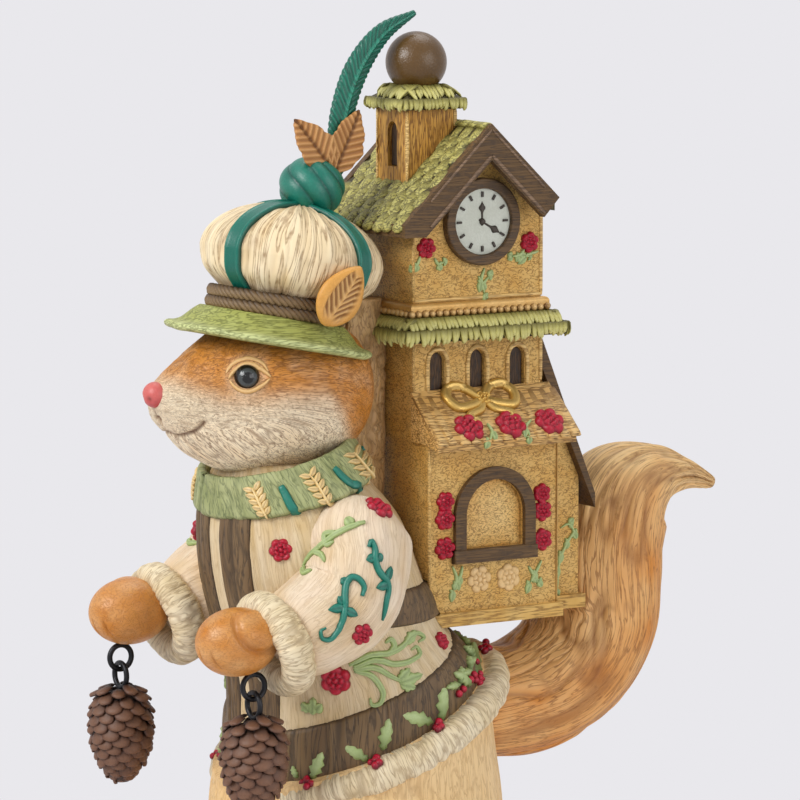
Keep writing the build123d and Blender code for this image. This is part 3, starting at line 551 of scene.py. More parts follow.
class NodeBench:
    """Small helper that adds and links nodes of one tree."""

    def __init__(self, tree: bpy.types.NodeTree) -> None:
        """Work on a tree."""
        self.tree = tree

    def add(self, kind: str, settings: dict[str, object] | None = None, **inputs: object) -> bpy.types.Node:
        """Add a node.

        Args:
            kind: Blender's name of the node's type.
            settings: Properties of the node itself.
            inputs: Values or links by socket name with underscores for spaces, or s0, s1 by place.

        Returns:
            The node.
        """
        node = self.tree.nodes.new(kind)
        for name, value in (settings or {}).items():
            setattr(node, name, value)
        for name, value in inputs.items():
            spot = int(name[1:]) if name[0] == "s" and name[1:].isdigit() else name.replace("_", " ")
            if isinstance(value, Socket):
                self.tree.links.new(value, node.inputs[spot])
            else:
                node.inputs[spot].default_value = value
        return node

    def math(self, operation: str, *values: object, clamp: bool = False) -> Socket:
        """Result of a Math node."""
        inputs = {f"s{k}": value for k, value in enumerate(values)}
        return self.add("ShaderNodeMath", {"operation": operation, "use_clamp": clamp}, **inputs).outputs[0]

    def mix(self, share: object, first: object, second: object) -> Socket:
        """Colour between two colours.

        Args:
            share: How much of the second colour.
            first: Colour or link.
            second: Colour or link.

        Returns:
            Link to the mixed colour.
        """
        node = self.add("ShaderNodeMix", {"data_type": "RGBA"})
        for spot, value in ((0, share), (6, first), (7, second)):
            if isinstance(value, Socket):
                self.tree.links.new(value, node.inputs[spot])
            else:
                node.inputs[spot].default_value = value
        return node.outputs[2]

    def mark(self, name: str) -> Socket:
        """Value of a point attribute, 0 where the mesh has none."""
        return self.add("ShaderNodeAttribute", {"attribute_name": name}).outputs["Fac"]


@dataclass(frozen=True)
class ResinFinish:
    """Hand-painted cast resin: base coat, second tint, dark wash in the hollows and a dry-brushed top; the
    tint and the wash also carry painted shade in places.
    """

    name: str
    # Base, tint, wash and top; the tint and the wash colours also serve as painted shade.
    colours: str
    pattern: Pattern = Pattern.PLAIN
    wash_and_shade_share: float = 0.85
    top_share: float = 0.35
    mottle: float = 0.35
    roughness: float = 0.55
    metallic: float = 0.0
    grain_bump: float = 0.25

    def material(self) -> bpy.types.Material:
        """The Blender material, made once.

        Returns:
            The material.
        """
        label = f"{self.name}_paint"
        known = bpy.data.materials.get(label)
        if known is not None:
            return known
        material = bpy.data.materials.new(label)
        material.use_nodes = True
        material.node_tree.nodes.clear()
        bench = NodeBench(material.node_tree)
        plan = PATTERNS[self.pattern]
        base, tint, wash_and_shade, top = (linear(code) for code in self.colours.split())
        place = bench.add("ShaderNodeTexCoord").outputs["Object"]
        cloud = bench.add("ShaderNodeTexNoise", Vector=place, Scale=95.0, Detail=4.0).outputs["Fac"]
        patch = bench.add("ShaderNodeTexNoise", Vector=place, Scale=420.0, Detail=3.0).outputs["Fac"]
        source = place
        if self.pattern is Pattern.HAIR:
            source = bench.add("ShaderNodeAttribute", {"attribute_name": "flow"}).outputs["Vector"]
        turned = bench.add(
            "ShaderNodeMapping", Vector=source, Rotation=plan.turn, Scale=plan.stretch
        ).outputs[0]
        cells = bench.add("ShaderNodeTexNoise", Vector=turned, Scale=plan.scale, Detail=1.5).outputs["Fac"]
        off = bench.math("ABSOLUTE", bench.math("SUBTRACT", cells, 0.5))
        line = bench.add(
            "ShaderNodeMapRange",
            {"interpolation_type": "SMOOTHSTEP"},
            Value=off, From_Min=plan.line * 0.35, From_Max=plan.line, To_Min=1.0, To_Max=0.0,
        ).outputs[0]
        depth = bench.mark("depth")
        colour = bench.mix(bench.mark("tint"), base, tint)
        colour = bench.mix(bench.math("MULTIPLY", bench.mark("tone"), 0.45), colour, tint)
        light = bench.math("SUBTRACT", cloud, 0.42, clamp=True)
        light = bench.math("MULTIPLY", light, self.mottle * 1.6, clamp=True)
        colour = bench.mix(light, colour, top)
        warm = bench.math("SUBTRACT", 0.56, cloud, clamp=True)
        colour = bench.mix(bench.math("MULTIPLY", warm, self.mottle * 5.0, clamp=True), colour, tint)
        high = bench.math("MULTIPLY", bench.mark("high"), self.top_share, clamp=True)
        colour = bench.mix(high, colour, top)
        # The depth mark pulls the colour to the wash: the dark wash of carved hollows, and painted shade
        # where a piece puts shade into the same mark.
        dark = bench.math("MULTIPLY", depth, self.wash_and_shade_share)
        drawn = bench.math("MULTIPLY", bench.math("MULTIPLY", line, patch), plan.dark * 2.1, clamp=True)
        dark = bench.math("MAXIMUM", dark, bench.math("MULTIPLY", drawn, self.wash_and_shade_share), clamp=True)
        colour = bench.mix(dark, colour, wash_and_shade)
        colour = bench.add("ShaderNodeHueSaturation", Saturation=1.1, Value=1.0, Color=colour).outputs[0]
        grain = bench.add("ShaderNodeTexNoise", Vector=place, Scale=2600.0, Detail=3.0).outputs["Fac"]
        fine = bench.math("MULTIPLY", grain, self.grain_bump)
        relief = bench.math("SUBTRACT", fine, bench.math("MULTIPLY", line, plan.bump))
        bump = bench.add("ShaderNodeBump", Height=relief, Strength=0.55, Distance=0.0004).outputs[0]
        shader = bench.add(
            "ShaderNodeBsdfPrincipled",
            Base_Color=colour, Roughness=self.roughness, Metallic=self.metallic, Normal=bump,
        )
        bench.add("ShaderNodeOutputMaterial", Surface=shader.outputs[0])
        return material


class Finishes:
    """The paints of the figurine, named for what they cover."""

    body_fur = ResinFinish(
        "body_fur", "e0b67c ecce9e 96683a f2dab0", Pattern.HAIR, wash_and_shade_share=0.42, mottle=0.2
    )
    trim_fur = ResinFinish("trim_fur", "eadcbc d6c094 80603a f5ecd7", Pattern.HAIR, wash_and_shade_share=0.62)
    band_brown = ResinFinish("band_brown", "58442e 6c5438 2c2014 967c56", Pattern.GRAIN, top_share=0.3)
    rib_brown = ResinFinish("rib_brown", "5c4832 70583e 2a2016 967c58", Pattern.HAIR, top_share=0.4)
    coat = ResinFinish(
        "coat_cream", "d7c3a0 c7ab7c 927246 f5ecd7", Pattern.HAIR, wash_and_shade_share=0.36, mottle=0.2
    )
    sleeve = ResinFinish(
        "sleeve_cream", "e4cfb6 d7bb94 a08054 f5ecd7", Pattern.HAIR, wash_and_shade_share=0.3, mottle=0.2
    )
    paw = ResinFinish(
        "paw_fur", "be793b cc8c4d 7e461e eecea0", Pattern.STIPPLE, wash_and_shade_share=0.35, mottle=0.12,
        roughness=0.4
    )
    metal = ResinFinish("eye_wire", "262628 343436 121212 5c5c60", roughness=0.38, metallic=0.75)
    cone = ResinFinish("cone", "523426 704e3a 1e130d 96725a", top_share=0.42, mottle=0.2)
    # The scarf's colours are darkened with painted shade, for the shade it sits in under the head.
    scarf = ResinFinish("scarf", "808855 9ea172 465230 d4d6aa", Pattern.HAIR, wash_and_shade_share=0.8, mottle=0.2)
    head = ResinFinish(
        "head_fur", "c88648 f6e8cc 683c1c ecbe86", Pattern.HAIR, wash_and_shade_share=0.85, mottle=0.16, roughness=0.5
    )
    lid = ResinFinish("lid", "d8ac70 e8c898 603418 f6e0ba", roughness=0.4)
    eye = ResinFinish(
        "eye", "424646 0e0f0f 0a0807 545c5c", wash_and_shade_share=0.95, mottle=0.0, roughness=0.1, grain_bump=0.0
    )
    nose = ResinFinish("nose", "ce7670 be5c5c 803e3a e4a096", roughness=0.4)
    ear = ResinFinish("ear", "ce9856 e0b276 744822 f0ce98", roughness=0.5)
    brim = ResinFinish("hat_green", "a2a65e c6cc90 585c2a d0d6a0", Pattern.GRAIN, mottle=0.2)
    rope = ResinFinish("rope", "5c4832 7a6246 281c12 a68c68", top_share=0.5)
    crown = ResinFinish(
        "hat_cream", "e2c697 ecdab6 7a562e f8eed6", Pattern.HAIR, wash_and_shade_share=0.8, mottle=0.2
    )
    teal = ResinFinish("teal", "146454 228470 0a322c 5caa96", mottle=0.2, roughness=0.36)
    plume = ResinFinish("plume", "146854 2c8a70 082c26 60b096", Pattern.HAIR, mottle=0.2, roughness=0.38)
    leaf = ResinFinish("leaf_brown", "b07846 cc9864 5c361a e8c496")
    tail = ResinFinish(
        "tail_fur", "cc8240 f0cc96 703c1a f2cc96", Pattern.HAIR, wash_and_shade_share=0.7, top_share=0.4, mottle=0.2
    )
    nape = ResinFinish("nape_fur", "b69266 c8a678 684a2e d6ba90", Pattern.HAIR, wash_and_shade_share=0.6)
    wall = ResinFinish("house_wall", "d8b272 c8924a 704a20 eed49c", Pattern.STIPPLE, mottle=0.3)
    gable = ResinFinish("house_gable", "d6ae74 c2904e 684622 eed4a0", Pattern.HATCH, mottle=0.3)
    ledge = ResinFinish("house_ledge", "d8b270 be8e4a 785428 eed49c", Pattern.GRAIN)
    wood = ResinFinish(
        "house_wood", "60482c 745a3a 302114 8c7250", Pattern.GRAIN, mottle=0.2, roughness=0.6
    )
    shingle = ResinFinish("shingle", "a8a058 c4be7c 342e14 d8d296", Pattern.HATCH, mottle=0.25)
    straw = ResinFinish("fringe", "b2aa5c cec884 423c18 e4e0a6", top_share=0.6, mottle=0.2)
    # Dark paint under the shingles and straw, seen through their gaps: painted shade.
    roof_gap_shade = ResinFinish("roof_gap_shade", "463e1e 585028 242010 686034", Pattern.STRAW)
    edge = ResinFinish("pale_edge", "e2be7e cea05c 886032 f2daa8", Pattern.GRAIN)
    panel = ResinFinish("window_panel", "e2ba78 ce9654 704a22 f2dca8", Pattern.STIPPLE)
    # Dark paint for the panes that stand for the shade inside the window slots: painted shade.
    slot_shade_pane = ResinFinish("slot_shade_pane", "4a341e 382818 1e140c 705434", Pattern.STRAW)
    cupola_wood = ResinFinish("cupola_wood", "ce9e5a ba8240 704820 e8c484", Pattern.STRAW, mottle=0.25)
    board_line = ResinFinish("board_line", "7e6650 6e5844 3c2c20 a88e74", Pattern.GRAIN)
    bead = ResinFinish("bead", "d4ac70 ba8c50 583a20 f6e0b4", roughness=0.3, metallic=0.3)
    clock_rim = ResinFinish("clock_rim", "5c452b 705739 2c1f13 846a4a", Pattern.GRAIN, mottle=0.2)
    dial = ResinFinish("clock_dial", "ced1c4 bec0b0 9e9c8a e0e2d8", mottle=0.3)
    ink = ResinFinish("clock_ink", "342c24 463c32 181410 544a3e")
    ball = ResinFinish("ball", "5a4224 684d2c 3a2a1a 7c6240", mottle=0.15, roughness=0.3)
    rose = ResinFinish("rose", "b01a32 c0283e 540816 e06070", top_share=0.4, mottle=0.1, roughness=0.4)
    gold = ResinFinish("gold", "cea860 e2c07c 805828 fae4aa", roughness=0.3, metallic=0.55)
    fern = ResinFinish("fern_gold", "dec084 eed6a4 846032 faecc8", roughness=0.4)
    vine = ResinFinish("vine", "a0b276 b8c890 566636 d4e0b4", mottle=0.2, roughness=0.45)
    blossom = ResinFinish("blossom", "e4c08a f0d6a8 8e6838 f8eacc", top_share=0.5)
    felt = ResinFinish("felt", "46423a 545046 2c2a24 605c54", roughness=0.95)


def dress(
    piece: Piece, finish: ResinFinish, nodes: Sequence[str] = (), body: str = FIGURE
) -> Piece:
    """Paint a new piece and tie it to its body.

    Args:
        piece: Object at the origin with its place in its mesh.
        finish: Its paint.
        nodes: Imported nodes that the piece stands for.
        body: Body that it moves with.

    Returns:
        The piece.
    """
    piece.data.materials.clear()
    piece.data.materials.append(finish.material())
    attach(piece, body)
    if nodes:
        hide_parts(*nodes)
    LOG.info("%s: %d faces on %s", piece.name, len(piece.data.polygons), body)
    return piece


def make(
    name: str, rows: Array, marks: Marks, finish: ResinFinish, slot: str, *nodes: str, ring: bool = False
) -> Piece:
    """Skin over rows, painted and tied to the figure in place of its nodes."""
    return dress(skin(name, rows, marks, ring), finish, nodes)


def paint(nodes: dict[str, Piece], finish: ResinFinish, *names: str) -> None:
    """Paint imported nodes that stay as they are.

    Args:
        nodes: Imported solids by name.
        finish: Their paint.
        names: Names of the solids to paint.
    """
    for name in names:
        nodes[name].data.materials.clear()
        nodes[name].data.materials.append(finish.material())
        LOG.info("%s: packed solid, painted %s", name, finish.name)


@dataclass(frozen=True)
class PhotoView:
    """The camera, and the way from a pixel of the 800 pixel frame to the object."""

    azimuth: float = math.radians(58.0)
    elevation: float = math.radians(7.0)
    distance: float = 2.0
    target: Point = (0.00954, 0.01527, 0.227)
    lens: float = 225.0
    sensor: float = 36.0
    frame: int = 800

    def axes(self) -> tuple[Vector, Vector, Vector]:
        """Directions to the right, up and back towards the camera.

        Returns:
            The three unit vectors.
        """
        turn, rise = self.azimuth, self.elevation
        back = Vector((math.sin(turn) * math.cos(rise), -math.cos(turn) * math.cos(rise), math.sin(rise)))
        right = Vector((math.cos(turn), math.sin(turn), 0))
        return right, back.cross(right), back

    def ray(self, pixel: Pixel) -> tuple[Vector, Vector]:
        """Start and direction of the line of sight through a pixel.

        Args:
            pixel: Place in the frame, from its upper left corner.

        Returns:
            Start and unit direction.
        """
        right, up, back = self.axes()
        focal = self.lens / self.sensor * self.frame
        across = (pixel[0] - self.frame / 2) / focal
        rise = (self.frame / 2 - pixel[1]) / focal
        return Vector(self.target) + back * self.distance, (right * across + up * rise - back).normalized()

    def place_camera(self) -> None:
        """Add the camera and make it the scene's own."""
        right, up, back = self.axes()
        data = bpy.data.cameras.new("camera")
        data.lens, data.sensor_width = self.lens, self.sensor
        camera = bpy.data.objects.new("camera", data)
        bpy.context.scene.collection.objects.link(camera)
        turn = Matrix((right, up, back)).transposed()
        camera.matrix_world = Matrix.Translation(Vector(self.target) + back * self.distance) @ turn.to_4x4()
        bpy.context.scene.camera = camera


VIEW = PhotoView()


class Carrier:
    """Surface that ornament lies on."""

    def __init__(self, *pieces: Piece) -> None:
        """Index the faces of the pieces.

        Args:
            pieces: Objects at the origin.
        """
        points: list[Vector] = []
        faces: list[list[int]] = []
        for piece in pieces:
            start = len(points)
            points.extend(vertex.co.copy() for vertex in piece.data.vertices)
            faces.extend([start + index for index in face.vertices] for face in piece.data.polygons)
        self.tree = BVHTree.FromPolygons(points, faces)

    def seen(self, pixel: Pixel) -> Point:
        """Point of the surface that a pixel shows.

        Args:
            pixel: Place in the frame.

        Returns:
            The point, or the nearest one where the pixel misses the surface.
        """
        place, _, _, _ = self.tree.ray_cast(*VIEW.ray(pixel))
        if place is None:
            origin, sight = VIEW.ray(pixel)
            place = self.tree.find_nearest(origin + sight * VIEW.distance)[0]
        return tuple(place)

    def lay(self, points: Array) -> tuple[Array, Array]:
        """Nearest surface points and their normals.

        Args:
            points: Places near the surface, in metres.

        Returns:
            Points and unit normals, smoothed along the row.
        """
        found = [self.tree.find_nearest(Vector(point)) for point in points]
        places = np.array([tuple(hit[0]) for hit in found])
        normals = np.array([tuple(hit[1]) for hit in found])
        if len(normals) > 2:
            padded = np.vstack([normals[:1], normals, normals[-1:]])
            normals = unit(padded[:-2] + padded[1:-1] + padded[2:])
        return places, normals


class Relief:
    """Low ornament on a carrier: stems, leaves and rosettes, in millimetres."""

    def __init__(self, carrier: Carrier, step: float = 0.8, mirror: bool = True) -> None:
        """Start an ornament, its rings about one step apart, on both sides if mirror is set.

        Args:
            carrier: Surface below the ornament.
            step: Distance between the rings of a line.
            mirror: Repeat it on the other side.
        """
        self.carrier = carrier
        self.step = step * MM
        self.mirror = mirror
        self.shape = Shape()

    def put(self, rows: Array, marks: Marks) -> None:
        """Add rows, and their mirror image where the ornament is on both sides.

        Args:
            rows: Points that close round their second axis.
            marks: Values on them.
        """
        self.shape.add_rows(rows, marks)
        if self.mirror:
            self.shape.add_rows(rows * to_side(-1), marks)

    def stroke(
        self,
        anchors: Sequence[Sequence[float]],
        width: float,
        height: float,
        profile: Callable[[Array], Array] | None = None,
        crease: float = 0.0,
    ) -> None:
        """Raised line along a smooth curve on the carrier.

        Args:
            anchors: A few points near the surface, in metres.
            width: Half width.
            height: Height over the surface.
            profile: Width share along the line, from its share of the length.
            crease: Depth share of a line down the middle.
        """
        span = np.linalg.norm(np.diff(np.asarray(anchors, float), axis=0), axis=1).sum()
        count = int(np.clip(span / self.step, 6, 60))
        path, normals = self.carrier.lay(along_path(anchors, count))
        share = np.linspace(0, 1, count)
        shares = profile(share) if profile else np.sin(np.pi * np.clip(share, 0.02, 0.98)) ** 0.35
        widths = width * MM * shares
        tangents = unit(np.gradient(path, axis=0))
        sides = unit(np.cross(normals, tangents))
        angle = turns(12)
        rise, ridge = np.sin(angle), np.cos(angle)
        lift = np.where(rise > 0, rise, 0.5 * rise) - crease * bell(ridge / 0.28) * (rise > 0)
        heights = height * MM * np.minimum(1, widths / (0.55 * width * MM))
        rows = path[:, None] + sides[:, None] * (ridge[None, :, None] * widths[:, None, None])
        rows = rows + normals[:, None] * (lift[None, :, None] * heights[:, None, None])
        depth = held(bell(ridge / 0.2) * crease * 2 + (rise < 0.25))
        ones = np.ones((count, 1))
        self.put(rows, {"depth": ones * depth[None] * 0.7, "high": ones * held(rise - 0.55)[None] * 1.5})

    def trace(
        self,
        pixels: Iterable[Pixel],
        width: float,
        height: float,
        profile: Callable[[Array], Array] | None = None,
        crease: float = 0.0,
    ) -> None:
        """Raised line where pixels of the view show the carrier, as stroke makes it."""
        self.stroke([self.carrier.seen(tuple(pixel)) for pixel in pixels], width, height, profile, crease)

    def sprout(self, ends: Iterable[Pixel], width: float, height: float, teeth: int = 0) -> None:
        """Leaf between two pixels of the view."""
        self.leaf(*(self.carrier.seen(tuple(pixel)) for pixel in ends), width, height, teeth)

    def leaf(
        self, base: Sequence[float], tip: Sequence[float], width: float, height: float, teeth: int = 0
    ) -> None:
        """Pointed leaf with a midrib, and toothed edges where teeth is not 0.

        Args:
            base: Foot of the leaf, in metres.
            tip: Its tip, in metres.
            width: Half width.
            height: Height over the surface.
            teeth: Number of teeth on an edge.
        """

        def profile(share: Array) -> Array:
            """Width share of the leaf."""
            plain = np.sin(np.pi * np.clip(share, 0.01, 0.99) ** 0.85) ** 0.9
            return plain * (0.72 + 0.42 * np.abs(np.sin(np.pi * teeth * share))) if teeth else plain

        middle = (np.asarray(base) + np.asarray(tip)) / 2
        self.stroke([base, middle, tip], width, height, profile, crease=0.45)

    def rosette(
        self, centre: Sequence[float], radius: float, height: float, seed: int, petals: int = 5
    ) -> None:
        """Flower of lobed petals round a swirled bud.

        Args:
            centre: Point near the surface.
            radius: Outer radius.
            height: Height of the bud.
            seed: Picks its turn.
            petals: Number of lobes.
        """
        place, normal = self.carrier.lay(np.array([centre]))
        out = Vector(normal[0])
        side = out.orthogonal().normalized()
        axes = np.array([side, out.cross(side), out])
        ring = np.linspace(0, 1, 15)[:, None]
        angle = turns(48)[None, :]
        turn = angle * petals / 2 + seed * 1.7
        lobe = np.abs(np.cos(turn)) ** 0.55
        reach = radius * MM * ring * (1 - 0.24 * (1 - lobe) * ring)
        outer = bell((ring - 0.74) / 0.20) * lobe
        inner = bell((ring - 0.38) / 0.15) * np.abs(np.sin(turn)) ** 0.55
        bud = bell(ring / 0.16)
        swell = np.maximum(np.maximum(0.72 * outer, 0.90 * inner), bud)
        up = height * MM * np.where(ring > 0.97, -0.5, 0.30 * (1 - ring**6) + 0.70 * swell)
        rows = place[0] + grid(reach * np.cos(angle), reach * np.sin(angle), up) @ axes
        dark = held(1.05 - 1.9 * np.maximum(np.maximum(outer, inner), bud)) + 0.9 * (ring > 0.95)
        marks = {"depth": held(dark), "high": held(swell * 1.5 - 0.9) * (1 - ring**6)}
        self.put(rows[1:], {name: value[1:] for name, value in marks.items()})

    def build(self, name: str, finish: ResinFinish, slot: str, *nodes: str) -> Piece:
        """The ornament as one painted piece."""
        return dress(self.shape.build(name), finish, nodes)


HEM_Z = 100.0
HEM_TILT = 24.0
HEM_RISE = math.tan(math.radians(HEM_TILT))
HEM_FRAME = frame_at((0, 0, HEM_Z), HEM_TILT)
COLLAR_FRAME = frame_at((0, -33, 193), 15.5)
HAT_FRAME = frame_at((0, -39.5, 252), -11.0)
ALONG_X = np.array([1.0, 0, 0])
UPRIGHT = np.array([0, 0, 1.0])


@dataclass
class Skirt:
    """Lower body, feet and the fur at the hem, in millimetres."""

    half_width: float = 60.0
    half_depth: float = 59.0
    bottom: float = 1.5
    height: float = 128.0
    foot_spread: float = 25.0
    foot_heel_y: float = -34.0
    foot_length: float = 52.0
    foot_half_width: float = 18.0
    foot_height: float = 25.0
    # Share of the height, then of the half width and half depth.
    body_shares: Table = (
        (0.0, 0.84, 0.80), (0.07, 0.93, 0.90), (0.25, 0.99, 0.98), (0.50, 1.0, 1.0),
        (0.66, 0.96, 0.955), (0.80, 0.93, 0.91), (1.0, 0.86, 0.84),
    )
    # Share of the length, then of the half width and height.
    foot_shares: Table = (
        (0.0, 0.70, 0.95), (0.35, 0.90, 1.0), (0.70, 1.0, 0.85), (0.90, 0.86, 0.62), (1.0, 0.52, 0.34),
    )

    def body(self) -> None:
        """Body under the coat, combed downwards."""
        angle = turns(400)[None, :]
        share = np.linspace(0, 1, 130)[:, None]
        top = HEM_Z + HEM_RISE * self.half_depth * 0.94 * np.sin(angle) + 1.0
        z = self.bottom + share * (top - self.bottom)
        read = read_shares(self.body_shares, (z - self.bottom) / self.height)
        wide, deep = self.half_width * read[..., 0], self.half_depth * read[..., 1]
        rows, marks = Comb(9, 1.5, 0.35, 3).carve(MM * grid(wide * np.cos(angle), deep * np.sin(angle), z))
        marks["tint"] = patches(rows, 22, 5)
        make("lower_body_fur", rows, marks, Finishes.body_fur, "body_fur", "lower_body")

    def foot(self, side: int) -> None:
        """Foot with four toes.

        Args:
            side: 1 for left, -1 for right.
        """
        at = np.linspace(0, 1, 60)
        read = read_shares(self.foot_shares, at)
        angle = turns(80)[None, :]
        wide = self.foot_half_width * read[:, :1] * np.cos(angle)
        high = self.foot_height * read[:, 1:] * held(np.sin(angle))
        front = ease(at, 0.72, 0.98)[:, None]
        toe = np.abs(np.cos(np.pi * (wide / self.foot_half_width + 1) * 2))
        high = high * (1 - 0.35 * front * (1 - toe**0.6))
        y = self.foot_heel_y - self.foot_length * at[:, None]
        rows = MM * grid(side * self.foot_spread + wide, y, self.bottom + high)
        _, marks = Comb(7, 1.4, 0.0, 9).relief(-rows[..., 1], rows[..., [0, 2]])
        marks["depth"] = np.maximum(0.3 * marks["depth"], front * (1 - toe**0.4))
        name = f"{side_name(side)}_foot"
        make(f"{name}_toes", rows, marks, Finishes.paw, "paw_fur", name)

    def hem_fur(self) -> None:
        """Shaggy roll round the hem, its hair running across the edge."""
        rows = spun(HEM_FRAME, rounded_box_profile(49.0, 64.0, -11.3, 1.2, 5.6, 56), 620)
        rows, marks = Comb(11, 1.5, 0.75, 21, sway=0.45).carve(rows, ring=True)
        marks["tint"] = patches(rows, 16, 8)
        make("hem_fur_roll", rows, marks, Finishes.trim_fur, "trim_fur", "hem_fur_trim", ring=True)

    def build(self) -> None:
        """Make the pieces of the skirt."""
        self.body()
        self.hem_fur()
        for side in (1, -1):
            self.foot(side)


@dataclass
class Coat:
    """Coat from the hem to the neck with its ribbed bands, in millimetres."""

    half_width: float = 54.0
    half_depth: float = 51.0
    rise: float = 106.0
    lean: float = 34.0
    band_height: float = 20.0
    band_thickness: float = 1.9
    strap_low: float = 143.0
    strap_high: float = 157.0
    strap_thickness: float = 2.0
    front_top: float = 192.0
    front_thickness: float = 1.6
    front_inner: float = 4.0
    front_width: float = 16.5
    front_valley: float = 12.0
    front_turn: float = 0.24
    sunk: float = -0.8
    # Share of the rise, then of the lean, the half width and the half depth.
    shares: Table = (
        (0.0, 0.0, 1.0, 1.0), (0.17, 0.04, 0.98, 0.99), (0.36, 0.38, 0.93, 0.88), (0.60, 0.65, 0.89, 0.82),
        (0.80, 0.80, 0.80, 0.74), (0.93, 0.94, 0.62, 0.60), (1.0, 1.0, 0.48, 0.50),
    )

    def surface(self, angle: Array, z: Array, grow: float | Array = 0.0) -> Array:
        """Points of the coat at angles and heights, in millimetres, moved out by grow.

        Args:
            angle: Angle of each point, 0 on the left.
            z: Height of each point.
            grow: Distance out of the coat.

        Returns:
            Points in millimetres, with the last axis for their coordinates.
        """
        read = read_shares(self.shares, held((z - HEM_Z) / self.rise))
        x = (self.half_width * read[..., 1] + grow) * np.cos(angle)
        y = (self.half_depth * read[..., 2] + grow) * np.sin(angle) - self.lean * read[..., 0]
        return grid(x, y, z)

    def hem_z(self, angle: Array, rise: float = 0.0) -> Array:
        """Height at which the coat meets the slanted hem plane, lifted by rise along its normal.

        Args:
            angle: Angles to read.
            rise: Distance over the plane.

        Returns:
            Height at each angle, in millimetres.
        """
        low = HEM_Z + rise / math.cos(math.radians(HEM_TILT))
        z = low + HEM_RISE * self.half_depth * np.sin(angle)
        for _ in range(4):
            z = low + HEM_RISE * self.surface(angle, z)[..., 1]
        return z

    def cloth(self) -> None:
        """Cream cloth with brushed strokes and painted shade under the scarf, a darker tint near the neck."""
        angle = turns(400)[None, :]
        share = np.linspace(0, 1, 140)[:, None]
        low = self.hem_z(angle)
        rows = MM * self.surface(angle, low + share * (HEM_Z + self.rise - low))
        rows, marks = Comb(16, 1.3, 0.30, 33).carve(rows, ends=False)
        marks["depth"] = 0.35 * marks["depth"]
        # Painted shade under the scarf: the darker tint grows from 176 to 192 mm up.
        marks["tint"] = held(patches(rows, 20, 7, 0.45) + ease(rows[..., 2] / MM, 176, 192))
        make("coat_cloth", rows, marks, Finishes.coat, "coat_cream", "coat_body")

    def strip(
        self, angle: Array, z: Array, out: Array, thick: float, comb: Comb, ribs: float,
        valley: Array | float = 0.0
    ) -> tuple[Array, Marks]:
        """Ribbed strip on the coat.

        Args:
            angle: Angle of each point.
            z: Height of each point.
            out: Distance of each point over the coat.
            thick: Largest such distance.
            comb: Grain of the ribs.
            ribs: Height of the ribs.
            valley: Share of a groove along the strip.

        Returns:
            Points in metres and their marks.
        """
        plain = MM * self.surface(angle, z)
        relief, marks = comb.relief(plain[..., 2], plain[..., :2])
        points = MM * self.surface(angle, z, out + (ribs * relief - valley) * (out > 0))
        depth = np.maximum(0.8 * valley, 1 - ease(out, 0.1, 0.5 * thick))
        marks["depth"] = np.maximum(marks["depth"], depth)
        return points, marks

    def band(
        self, name: str, node: str, angles: Array, low: Array, high: Array, thick: float, ribs: float,
        count: int
    ) -> None:
        """Raised band along the coat.

        Args:
            name: Name of the piece.
            node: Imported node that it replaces.
            angles: Angles along the band, one row of points for each.
            low: Lower edge height at each angle.
            high: Upper edge height at each angle.
            thick: Height over the coat.
            ribs: Height of the carved ribs.
            count: Points between the edges.
        """
        up = np.linspace(0, 1, count)
        z = low[:, None] + (high - low)[:, None] * np.concatenate([up, up[::-1]])[None, :]
        out = np.concatenate([np.sin(np.pi * up) ** 0.25 * thick, np.full(count, self.sunk)])[None, :]
        points, marks = self.strip(angles[:, None], z, out, thick, Comb(24, 1.7, 1.0, 41), ribs)
        closed = len(angles) > 500
        make(name, points, marks, Finishes.rib_brown, "band_brown", node, ring=closed)

    def front_bands(self) -> None:
        """Two brown bands down the front, each of two ribs with a valley between."""
        shape = Shape()
        share = np.linspace(0, 1, 26)
        ribs = self.front_inner + self.front_width * share
        loop = np.concatenate([ribs, ribs[::-1]])[None, :]
        edge = self.front_thickness * np.sin(np.pi * share) ** 0.3
        out = np.concatenate([edge, np.full(len(share), self.sunk)])[None, :]
        for side in (1, -1):
            middle = np.array([-math.pi / 2 + side * self.front_turn])
            foot = float(self.hem_z(middle, self.band_height - 1.0)[0])
            z = foot + np.linspace(0, 1, 120)[:, None] * (self.front_top - foot)
            wide = self.half_width * read_shares(self.shares, (z - HEM_Z) / self.rise)[..., 1]
            angle = -np.arccos(np.clip(side * loop / wide, -1, 1))
            valley = bell((loop - self.front_valley) / 1.1)
            comb = Comb(22, 1.6, 1.0, 47)
            shape.add_rows(*self.strip(angle, z, out, self.front_thickness, comb, 0.35, valley))
        dress(shape.build("front_ribs"), Finishes.rib_brown, ["coat_front_bands"])

    def build(self) -> None:
        """Make the coat, its bands and the strap of two planks that holds the house."""
        self.cloth()
        around = turns(620)
        low, high = self.hem_z(around, -1.0), self.hem_z(around, self.band_height)
        self.band("hem_ribs", "hem_band", around, low, high, self.band_thickness, 0.35, 22)
        self.front_bands()
        limit = math.radians(35)
        angles = np.linspace(-limit, math.pi + limit, 400)
        low, high = np.full(400, self.strap_low), np.full(400, self.strap_high)
        self.band("strap_planks", "waist_strap", angles, low, high, self.strap_thickness, 0.3, 18)


